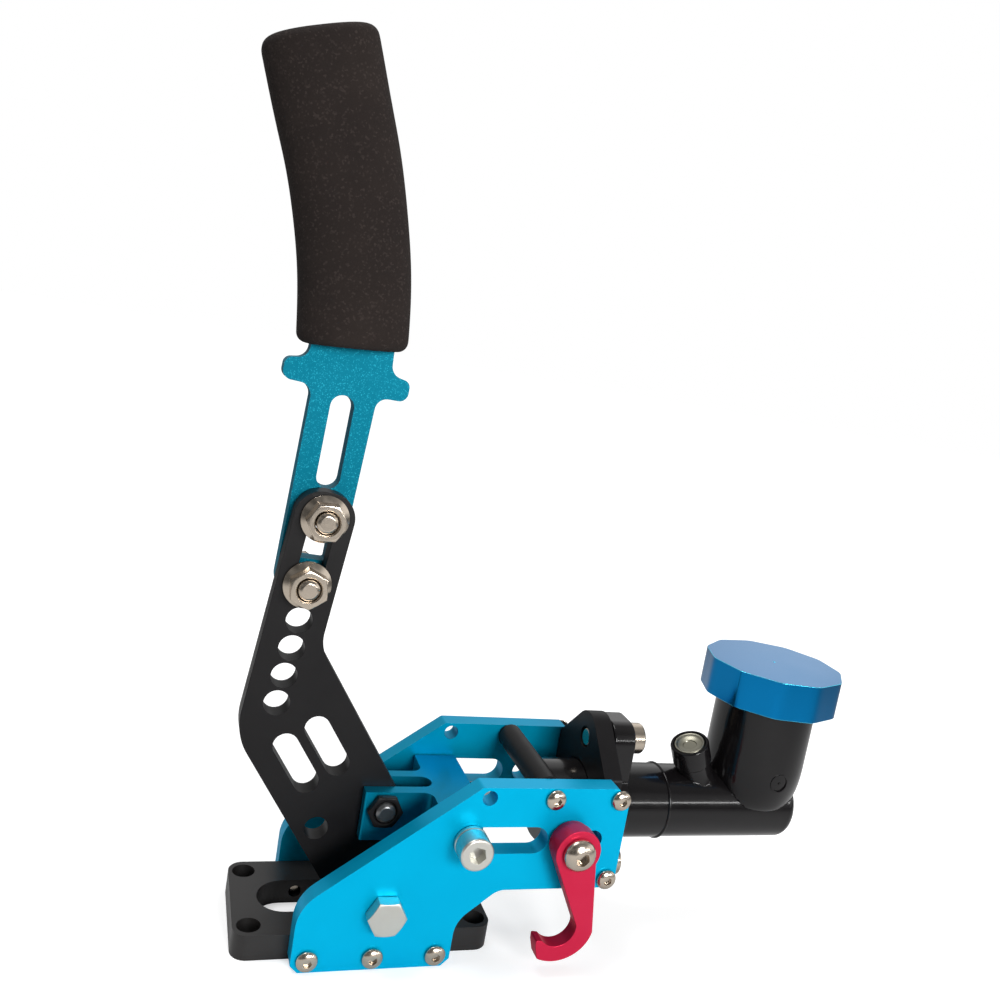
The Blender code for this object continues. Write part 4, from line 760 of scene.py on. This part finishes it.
# %% [markdown]
# ## Screws, bolts and nuts
# Small button heads hold the plates, socket cap screws hold the cylinder, and
# M8 hex bolts and flange nuts clamp the lever. They are the brightest spots of
# the picture, so they have real domes, sockets with depth, chamfered corners and
# threaded tips. The small ones are modelled once for each length, then copied.

# %% Button-head screw
def button_screw(name, head_r, head_height, shank_r, length, socket):
    rim = head_height * 0.16
    dome = [(shank_r - 0.0003, -length), (shank_r, -length + 0.0003), (shank_r, 0), (head_r - 0.0002, 0),
            (head_r, 0.0002), (head_r, rim)]
    dome += arc_points(0, rim, head_r, head_height - rim, 10, 80, 7)
    obj = turned(name, dome, 48)
    carve(obj, hex_tool(socket, head_height * 0.4, head_height + 0.002))
    return break_edges(obj, 0.00015, 2, 40)


def copy_of(source, name):
    twin = source.copy()
    twin.data = source.data.copy()
    twin.name = name
    bpy.context.scene.collection.objects.link(twin)
    return twin


# %% Place the small screws
def small_screw_sites():
    sites = []
    for word, side in (("front", -1), ("rear", 1)):
        for i, x in enumerate(BASE_SCREWS):
            sites.append(("base_screw_%s_%d" % (word, i + 1), side, x, 0.005, 0.020))
        sites.append(("cross_bar_screw_" + word, side, CROSS_X, CROSS_Z, 0.0215))
        for height, s in (("upper", 1), ("lower", -1)):
            z = AXIS_Z + s * BRACKET_SPAN
            sites.append(("bracket_screw_%s_%s" % (word, height), side, BRACKET_X, z, 0.01475))
    return sites


patterns = {}
for i, (node, side, x, z, length) in enumerate(small_screw_sites()):
    if length not in patterns:
        patterns[length] = button_screw("screw_pattern", 0.0041, 0.0023, 0.0022, length, 0.003)
    piece = copy_of(patterns[length], "fine_" + node)
    stand(piece, (0, side, 0), spot(x, side * (PLATE_OUT + GAP), z), twist=0.4 + 0.77 * i)
    dress(piece, STAINLESS, "frame", node, slot="stainless")
for pattern in patterns.values():
    bpy.data.objects.remove(pattern, do_unlink=True)
hook_screw = button_screw("fine_hook_screw", 0.0065, 0.0044, M8, 0.0181, 0.005)
stand(hook_screw, (0, -1, 0), spot(HOOK_X, -0.0434, AXIS_Z), twist=0.3)
dress(hook_screw, STAINLESS, "frame", "hook_screw", slot="stainless")

# %% Socket cap screw, hex head, nuts and a threaded shank
def thread_rings(radius, start, stop, pitch=0.00125, depth=0.0007):
    rings, count = [], max(1, int(abs(stop - start) / pitch))
    step = (stop - start) / count
    for i in range(count):
        rings += [(radius, start + (i + 0.1) * step), (radius - depth, start + (i + 0.5) * step),
                  (radius, start + (i + 0.9) * step)]
    return rings


def cap_screw(name, length, thread=0.012):
    k, r = 0.008, 0.0065
    plain = max(length - thread, 0.0005)
    rings = [(M8 - 0.0009, -length), (M8 - 0.0001, -length + 0.0008)]
    rings += thread_rings(M8, -length + 0.0009, -plain)
    rings += [(M8, -plain + 0.0003), (M8, 0), (r - 0.0002, 0), (r, 0.0002), (r, k - 0.0010),
              (r - 0.0003, k - 0.0004), (r - 0.0010, k)]
    obj = turned(name, rings, 56)
    carve(obj, hex_tool(0.006, k / 2, k + 0.002))
    return break_edges(obj, 0.00015, 2, 50)


M8_ACROSS = 0.013


def hexagon(name, across, low, high, both=False):
    corner, flat = across / math.sqrt(3) * 1.04, across / 2 * 0.95
    drop = (corner - flat) * math.tan(math.radians(28))
    rings = [(flat, low), (corner, low + drop)] if both else [(corner, low)]
    rings += [(corner, high - drop), (flat, high)]
    obj = turned(name, rings, 60)
    return carve(obj, hex_tool(across, low - 0.001, high + 0.001), operation="INTERSECT")


def hex_bolt(name, length, thread=0.012):
    plain = length - thread
    rings = [(M8 - 0.0016, -length), (M8 - 0.0010, -length + 0.0002), (M8 - 0.0003, -length + 0.0008)]
    rings += thread_rings(M8, -length + 0.0010, -plain)
    rings += [(M8, -plain + 0.0003), (M8, -0.0004), (M8, 0.0026)]
    obj = turned(name, rings, 48)
    carve(obj, hexagon("head", M8_ACROSS, 0, 0.0053), operation="UNION")
    return break_edges(obj, 0.00015, 2, 50)


def nut_bore(height):
    rings = [(0.0055, -0.001), (CLEAR, 0.0004), (CLEAR, height - 0.0006), (0.0053, height + 0.0004)]
    return turned("bore", rings, 48)


def hex_nut(name, height, across=M8_ACROSS):
    obj = hexagon(name, across, 0, height, both=True)
    carve(obj, nut_bore(height))
    return break_edges(obj, 0.0002, 2, 40)


def flange_nut(name):
    r, h = 0.00895, 0.008
    skirt = [(r - 0.0002, 0), (r, 0.0003), (r - 0.0001, 0.0010), (0.0072, 0.0022), (0.0060, 0.0026),
             (0.0060, 0.0040)]
    obj = turned(name, skirt, 72)
    carve(obj, hexagon("hex", M8_ACROSS, 0.0008, h), operation="UNION")
    carve(obj, nut_bore(h))
    return break_edges(obj, 0.00018, 2, 40)


# %% Place the M8 hardware
HARDWARE = {"zinc": ZINC, "stainless": STAINLESS, "dark_steel": OXIDE, "olive_zinc": OLIVE,
            "black_anodised": BLACK}
SEAT = PLATE_OUT + GAP
TURN = math.radians(30)


def fit(piece, direction, place, slot, body, node, twist=0.0, finish=None):
    stand(piece, direction, place, twist)
    return dress(piece, finish or HARDWARE[slot], body, node, slot=slot)


fit(hex_bolt("fine_pivot_bolt", 0.0743, 0.016), (0, -1, 0), spot(0, -SEAT, PIVOT_Z), "zinc", "frame",
    "pivot_bolt", TURN)
fit(hex_nut("fine_pivot_nut", 0.0065), (0, 1, 0), spot(0, SEAT, PIVOT_Z), "zinc", "frame", "pivot_nut")
for word, s in (("upper", 1), ("lower", -1)):
    fit(cap_screw("fine_flange_bolt_" + word, 0.0176), (1, 0, 0), spot(0.1020, 0, AXIS_Z + s * FLANGE_SPAN),
        "stainless", "frame", "flange_bolt_" + word, 0.2 * s)
fit(cap_screw("fine_slider_pin", 0.0766, 0.018), (0, -1, 0), spot(SLIDER_X, -0.0356, AXIS_Z), "zinc",
    "slider", "slider_pin", 0.25)
fit(hex_nut("fine_slider_nut", 0.0065), (0, 1, 0), spot(SLIDER_X, SEAT, AXIS_Z), "zinc", "slider",
    "slider_nut")
fit(hex_nut("fine_jam_nut", 0.004), (1, 0, 0), spot(0.0375, 0, AXIS_Z), "zinc", "slider", "jam_nut")
fit(hex_bolt("fine_crank_bolt", 0.0232, 0.010), (0, 1, 0), spot(0, 0.0096, AXIS_Z), "dark_steel", "lever",
    "crank_bolt")
for word, (x, z), twist in (("upper", UPPER_NUT, TURN), ("lower", LOWER_NUT, 0.08)):
    fit(hex_bolt("fine_arm_bolt_" + word, 0.0256, 0.016), (0, 1, 0), spot(x, 0.0126, z), "stainless", "lever",
        "arm_bolt_" + word, twist)
    fit(flange_nut("fine_arm_nut_" + word), (0, -1, 0), spot(x, -0.0043, z), "stainless", "lever",
        "arm_nut_" + word, twist)

# %% [markdown]
# ## Collars, bushes and bars
# Plain rings and rods fill the spaces between the plates. Each is turned with a
# bore and broken edges. The crank bolt carries a thin dark nut instead.

# %% Collars, bushes, spacers and the cross bar
def ring_piece(name, outer, inner, low, high):
    e = 0.0003
    obj = turned(name, [(outer - e, low), (outer, low + e), (outer, high - e), (outer - e, high)], 56)
    carve(obj, turned("bore", [(inner, low - 0.002), (inner, high + 0.002)], 40))
    return flatten_normals(obj)


fit(ring_piece("fine_collar", 0.0065, CLEAR, 0, 0.002), (0, -1, 0), spot(SLIDER_X, -SEAT, AXIS_Z), "zinc",
    "slider", "slider_collar")
fit(hex_nut("fine_crank_ring", 0.003, 0.0124), (0, -1, 0), spot(0, -0.0096, AXIS_Z), "zinc", "lever",
    "crank_ring", 0.5, finish=BLACK)
for word, s in (("front", -1), ("rear", 1)):
    fit(ring_piece("fine_bush_" + word, 0.0052, CLEAR, PLATE_IN - GAP, PLATE_OUT - GAP), (0, s, 0),
        spot(SLIDER_X, 0, AXIS_Z), "olive_zinc", "slider", "slider_bush_" + word)
    fit(ring_piece("fine_spacer_" + word, 0.0065, CLEAR, 0.0043, PLATE_IN - GAP), (0, s, 0),
        spot(0, 0, PIVOT_Z), "zinc", "frame", "pivot_spacer_" + word)


def cross_bar():
    reach, r, e = PLATE_IN - GAP, 0.0052, 0.0005
    obj = turned("fine_cross_bar", [(r - e, -reach), (r, e - reach), (r, reach - e), (r - e, reach)], 56)
    for s in (-1, 1):
        carve(obj, turned("bore", [(TAPPED, s * (reach - 0.0138)), (TAPPED, s * (reach + 0.002))], 24))
    return flatten_normals(obj)


fit(cross_bar(), (0, 1, 0), spot(CROSS_X, 0, CROSS_Z), "black_anodised", "frame", "cross_bar")

# %% [markdown]
# ## Link fork
# A T-shaped block joins the slider pin to the lever: two cheeks reach round the
# arm and a cross piece lies between the plates. It could be screwed together
# from three plates, and it is milled from one blank here, like the real one.

# %% Link fork
def link_fork():
    reach, inner, outer = 0.0243, 0.0043, 0.0093
    back, bar_back, bar_front, end = -0.0082, 0.0185, 0.0365, 0.0202
    corners = [(bar_front, -reach, 0.001), (bar_front, reach, 0.001), (bar_back, reach, 0.001),
               (bar_back, outer, 0.004), (back, outer, 0.001), (back, inner, 0.0004),
               (end, inner, inner * 0.96), (end, -inner, inner * 0.96), (back, -inner, 0.0004),
               (back, -outer, 0.001), (bar_back, -outer, 0.004), (bar_back, -reach, 0.001)]
    obj = plate("fine_link_fork", rounded(corners), 0.020, "XY", spot(0, 0, AXIS_Z - 0.003))
    carve(obj, drill(spot(0, 0, AXIS_Z), (0, 1, 0), 0.0047, 0.04),
          drill(spot(SLIDER_X, 0, AXIS_Z), (0, 1, 0), CLEAR, 0.04),
          drill(spot(SLIDER_X + 0.010, 0, AXIS_Z), (1, 0, 0), 0.00525, 0.010))
    return break_edges(obj, 0.0005, painted_highlight=True)


# The fork's chamfers get the lighter cyan, a painted highlight.
dress(link_fork(), CYAN_DEEP, "link", "link_fork", slot="cyan_anodised", edge=CYAN_PAINTED_HIGHLIGHT)

# %% [markdown]
# ## Cylinder bracket and master cylinder
# The bracket carries the cylinder's two-bolt flange. The cylinder itself is one
# black casting: a nose, an oval flange, a long tube with a raised ring, and a
# boss that leans back for the outlet plug. Its gloss shows as long soft streaks.

# %% Cylinder bracket
def cylinder_bracket():
    half, shoulder, lobe = PLATE_IN - GAP, 0.0205, 0.011
    reach = math.hypot(half, FLANGE_SPAN - shoulder)
    rise = math.atan2(FLANGE_SPAN - shoulder, half) + math.asin(lobe / reach)
    apex = shoulder + half * math.tan(rise)
    corners = [(half, -shoulder, 0.002), (half, shoulder, 0.002), (0, apex, lobe),
               (-half, shoulder, 0.002), (-half, -shoulder, 0.002), (0, -apex, lobe)]
    here = spot(BRACKET_X, 0, AXIS_Z)
    obj = plate("fine_bracket", rounded(corners), THICK, "YZ", here)
    carve(obj, drill(here, (1, 0, 0), 0.0173, 0.02, 72))
    for s in (-1, 1):
        carve(obj, drill(spot(BRACKET_X, 0, AXIS_Z + s * FLANGE_SPAN), (1, 0, 0), CLEAR, 0.02))
        for side in (-1, 1):
            place = spot(BRACKET_X, side * PLATE_IN, AXIS_Z + s * BRACKET_SPAN)
            carve(obj, drill(place, (0, 1, 0), TAPPED, 0.0073, 24))
    return break_edges(obj, 0.0005)


dress(cylinder_bracket(), BLACK, "frame", "cylinder_bracket", slot="black_anodised")

# %% Master cylinder casting
def flange_outline():
    lobe, top, disc = 0.0125, 0.0092, 0.018
    side = lobe * 0.96
    waist = math.sqrt(disc * disc - side * side)
    half = [(side, -FLANGE_SPAN - top, 0.0082), (side, -waist, 0.003)]
    for k in (-1, 0, 1):
        a = k * math.asin(waist / disc) * 0.62
        half.append((disc * math.cos(a) * 1.03, disc * math.sin(a) * 1.03, 0.008))
    half += [(side, waist, 0.003), (side, FLANGE_SPAN + top, 0.0082)]
    return rounded(half + [(-y, z, r) for y, z, r in reversed(half)])


OUTLET = Vector((0.1453, 0, AXIS_Z))
OUTLET_TILT = Matrix.Rotation(math.radians(-25), 3, "Y") @ Matrix.Rotation(math.radians(8), 3, "X")


def cylinder_casting():
    nose, back, end, tube, wide = 0.017, 0.0672, 0.187, 0.0154, 0.0161
    soft, bead = 0.0045, 0.0548
    collar = tube + 0.0002
    rings = [(nose - 0.0008, 0), (nose, 0.0008), (nose, 0.0295), (collar, 0.0300), (collar, bead - 0.0007)]
    rings += arc_points(tube + 0.0001, bead, wide - tube, 0.0006, -60, 60, 6)
    rings += [(tube, bead + 0.0009), (tube, end - back - soft)]
    rings += arc_points(tube - soft, end - back - soft, soft, soft, 10, 80, 7)
    rings.append((tube - soft, end - back))
    obj = stand(turned("fine_cylinder", rings, 96), (1, 0, 0), spot(back, 0, AXIS_Z))
    flange = plate("flange", flange_outline(), 0.0097, "YZ", spot(0.0923 + 0.00485, 0, AXIS_Z))
    for s in (-1, 1):
        carve(flange, drill(spot(0.097, 0, AXIS_Z + s * FLANGE_SPAN), (1, 0, 0), CLEAR, 0.02))
    break_edges(flange, 0.0007, 3)
    carve(obj, flange, operation="UNION")
    boss = [(0.0092, 0.0125), (0.0084, 0.0145), (0.0078, 0.0170), (0.0077, 0.0222), (0.0081, 0.0226),
            (0.0083, 0.0232), (0.0083, 0.0316), (0.0081, 0.0320), (0.0078, 0.0322)]
    carve(obj, tilted(turned("boss", boss, 64)), operation="UNION")
    carve(obj, tilted(turned("seat", [(0.0070, 0.0269), (0.0070, 0.035)], 48)))
    bore = [(0.0104, -0.002), (0.0104, 0.0026), (0.0089, 0.0026), (0.0089, 0.158 - back)]
    carve(obj, stand(turned("bore", bore, 64), (1, 0, 0), spot(back, 0, AXIS_Z)))
    return flatten_normals(obj, 30)


def tilted(obj):
    obj.data.transform(OUTLET_TILT.to_4x4())
    obj.location = spot(*OUTLET)
    return settle(obj)


dress(cylinder_casting(), LACQUER, "frame", "cylinder_body", slot="black_gloss")

# %% Outlet plug: a dished, turned plug in the boss
plug_rings = [(0.0066, 0.0272), (0.0067, 0.0274), (0.0067, 0.0316), (0.0064, 0.0322), (0.0060, 0.0323),
              (0.0055, 0.0320), (0.0050, 0.0314), (0.0030, 0.0311), (0.0028, 0.0307), (0.0012, 0.0306)]
plug = tilted(turned("fine_outlet_plug", plug_rings, 56))
flatten_normals(plug, 50)
dress(plug, OLIVE, "frame", "outlet_plug", slot="olive_zinc")

# %% [markdown]
# ## Reservoir
# The reservoir is a black cup that saddles the tube. Its foot is round, and its
# front carries a small round moulding mark. The cap is turned aluminium with
# eleven shallow scoops for the fingers, and its flat top mirrors the room.

# %% Reservoir cup
def reservoir_cup():
    r, low, foot, top, floor = 0.0215, 0.0550, 0.0055, 0.1120, 0.0760
    inside = r - 0.0025
    rings = [(r - foot, low)] + arc_points(r - foot, low + 0.019, foot, -0.019, 80, 0, 8)
    rings += [(r, top - 0.0005), (r - 0.0005, top), (inside + 0.0005, top), (inside, top - 0.0005),
              (inside, floor + 0.0030), (inside - 0.0009, floor + 0.0008), (r - foot, floor)]
    obj = stand(turned("fine_cup", rings, 96), (0, 0, 1), spot(CUP_X, 0, 0))
    carve(obj, drill(spot(CUP_X, 0, AXIS_Z), (1, 0, 0), 0.0157, 0.05, 96))
    mark = turned("mark", [(0.0042, 0.018), (0.0042, 0.024)], 48)
    carve(mark, turned("mark_inside", [(0.0036, 0.017), (0.0036, 0.025)], 48))
    pip = turned("pip", [(0.0006, 0.018), (0.0006, 0.024)], 16)
    for tool in (mark, pip):
        stand(tool, (0, -1, 0), spot(CUP_X, 0, 0.0708))
        skin = turned("skin", [(r + 0.0003, 0.06), (r + 0.0003, 0.08)], 96)
        carve(tool, stand(skin, (0, 0, 1), spot(CUP_X, 0, 0)), operation="INTERSECT")
        carve(obj, tool, operation="UNION")
    return break_edges(obj, 0.0003, 2, 40)


dress(reservoir_cup(), LACQUER, "frame", "reservoir_cup", slot="black_cup")

# %% Screw cap
def screw_cap():
    count, lobes, turn, soft = 16, 11, math.radians(177.5), 0.22
    outline = []
    for i in range(lobes * count):
        a = turn + 2 * math.pi * i / (lobes * count)
        share = (i % count) / count
        dip = (math.hypot(math.sin(math.pi * share), soft) - soft) / (math.hypot(1, soft) - soft)
        r = 0.0297 - 0.0009 * dip
        outline.append((r * math.cos(a), r * math.sin(a)))
    bottom, height = 0.1022, 0.016
    obj = plate("fine_cap", outline, height, "XY", spot(CUP_X, 0, bottom + height / 2))
    hollow = turned("hollow", [(0.0221, -0.001), (0.0221, height - 0.004)], 72)
    carve(obj, stand(hollow, (0, 0, 1), spot(CUP_X, 0, bottom)))
    dimple = turned("dimple", [(0.0002, height - 0.0004), (0.0007, height + 0.0002)], 16)
    carve(obj, stand(dimple, (0, 0, 1), spot(CUP_X, 0, bottom)))
    return break_edges(obj, 0.0007, 3, 40, painted_highlight=True)


# The cap's chamfers get the lighter azure, a painted highlight.
dress(screw_cap(), AZURE, "cap", "reservoir_cap", slot="azure_anodised", edge=AZURE_PAINTED_HIGHLIGHT)

# %% [markdown]
# ## Lock hook
# The hook hangs from its screw on the front plate. A round eye tapers into a
# shank and ends in an open claw that catches the slider pin. Its edges are
# rounded more than the plates', and a boss keeps it off the plate.

# %% Lock hook
def lock_hook():
    cx, cz, r = -0.0026, -0.0314, 0.0075
    outline = arc_points(0, 0, 0.0092, 0.0092, -28, 200, 40)
    outline += arc_points(cx, cz, r, r, 8, -138, 28)
    outline += [(cx - 0.0078, cz - 0.0047), (cx - 0.0081, cz - 0.0051), (cx - 0.0080, cz - 0.0075)]
    outline += arc_points(cx, cz, r + 0.0075, r + 0.0064, -116, -8, 26)
    here = spot(HOOK_X, -(PLATE_OUT + GAP + 0.0032 + 0.00325), AXIS_Z)
    obj = plate("fine_hook", outline, 0.0065, "XZ", here)
    carve(obj, drill(here, (0, 1, 0), CLEAR, 0.02))
    break_edges(obj, 0.0005, 3, 30)
    boss = ring_piece("boss", 0.0085, CLEAR, PLATE_OUT + GAP, PLATE_OUT + 0.0050)
    stand(boss, (0, -1, 0), spot(HOOK_X, 0, AXIS_Z))
    carve(obj, boss, operation="UNION")
    return flatten_normals(obj, 34)


dress(lock_hook(), CRIMSON, "hook", "lock_hook", slot="crimson_anodised")

# %% [markdown]
# ## Parts inside
# The pushrod, piston, seals, ring and spring keep the solid model's own shapes,
# because only slivers of them show. They still get real finishes.

# %% Finishes for the nodes that stay
STAYS = {"pushrod": ZINC, "piston": ZINC, "piston_seal_front": RUBBER, "piston_seal_rear": RUBBER,
         "retaining_ring": STAINLESS, "return_spring": STAINLESS, "cap_diaphragm": RUBBER}
for node, finish in STAYS.items():
    nodes[node].data.materials.clear()
    nodes[node].data.materials.append(finish)

# %% [markdown]
# ## Floor
# The object stands on a pale floor whose colour is painted darker farther out, a
# painted shade that front faces high on the lever mirror as something dark. A glow
# that only the camera sees brings the floor up to white, so the soft shadow stays
# in sight.

# %% Floor
def floor_material():
    made = bpy.data.materials.new("pale_floor")
    made.use_nodes = True
    tree = made.node_tree
    shader = tree.nodes["Principled BSDF"]
    shader.inputs["Roughness"].default_value = 0.9
    shader.inputs["Specular IOR Level"].default_value = 0.1
    away = new_node(tree, "ShaderNodeVectorMath", operation="LENGTH")
    tree.links.new(new_node(tree, "ShaderNodeTexCoord").outputs["Object"], away.inputs[0])
    # Painted shade: the floor colour falls from 0.7 near the object to 0.2 farther out.
    painted_falloff = ramp(tree, away.outputs["Value"], 0.30, 0.70, 0.70, 0.20)
    tree.links.new(painted_falloff, shader.inputs["Base Color"])
    glow = ramp(tree, away.outputs["Value"], 0.25, 0.6, 0.50, 1.0)
    camera_ray = new_node(tree, "ShaderNodeLightPath").outputs["Is Camera Ray"]
    share = calculate(tree, "MULTIPLY", camera_ray, glow)
    shader.inputs["Emission Color"].default_value = (1, 1, 1, 1)
    tree.links.new(share, shader.inputs["Emission Strength"])
    return made


release()
bpy.ops.mesh.primitive_circle_add(vertices=96, radius=8, fill_type="NGON", location=(0, 0, 0))
floor = new_piece("floor")
floor.data.materials.append(floor_material())
release()

# %% View settings
bpy.context.scene.view_settings.view_transform = "Standard"
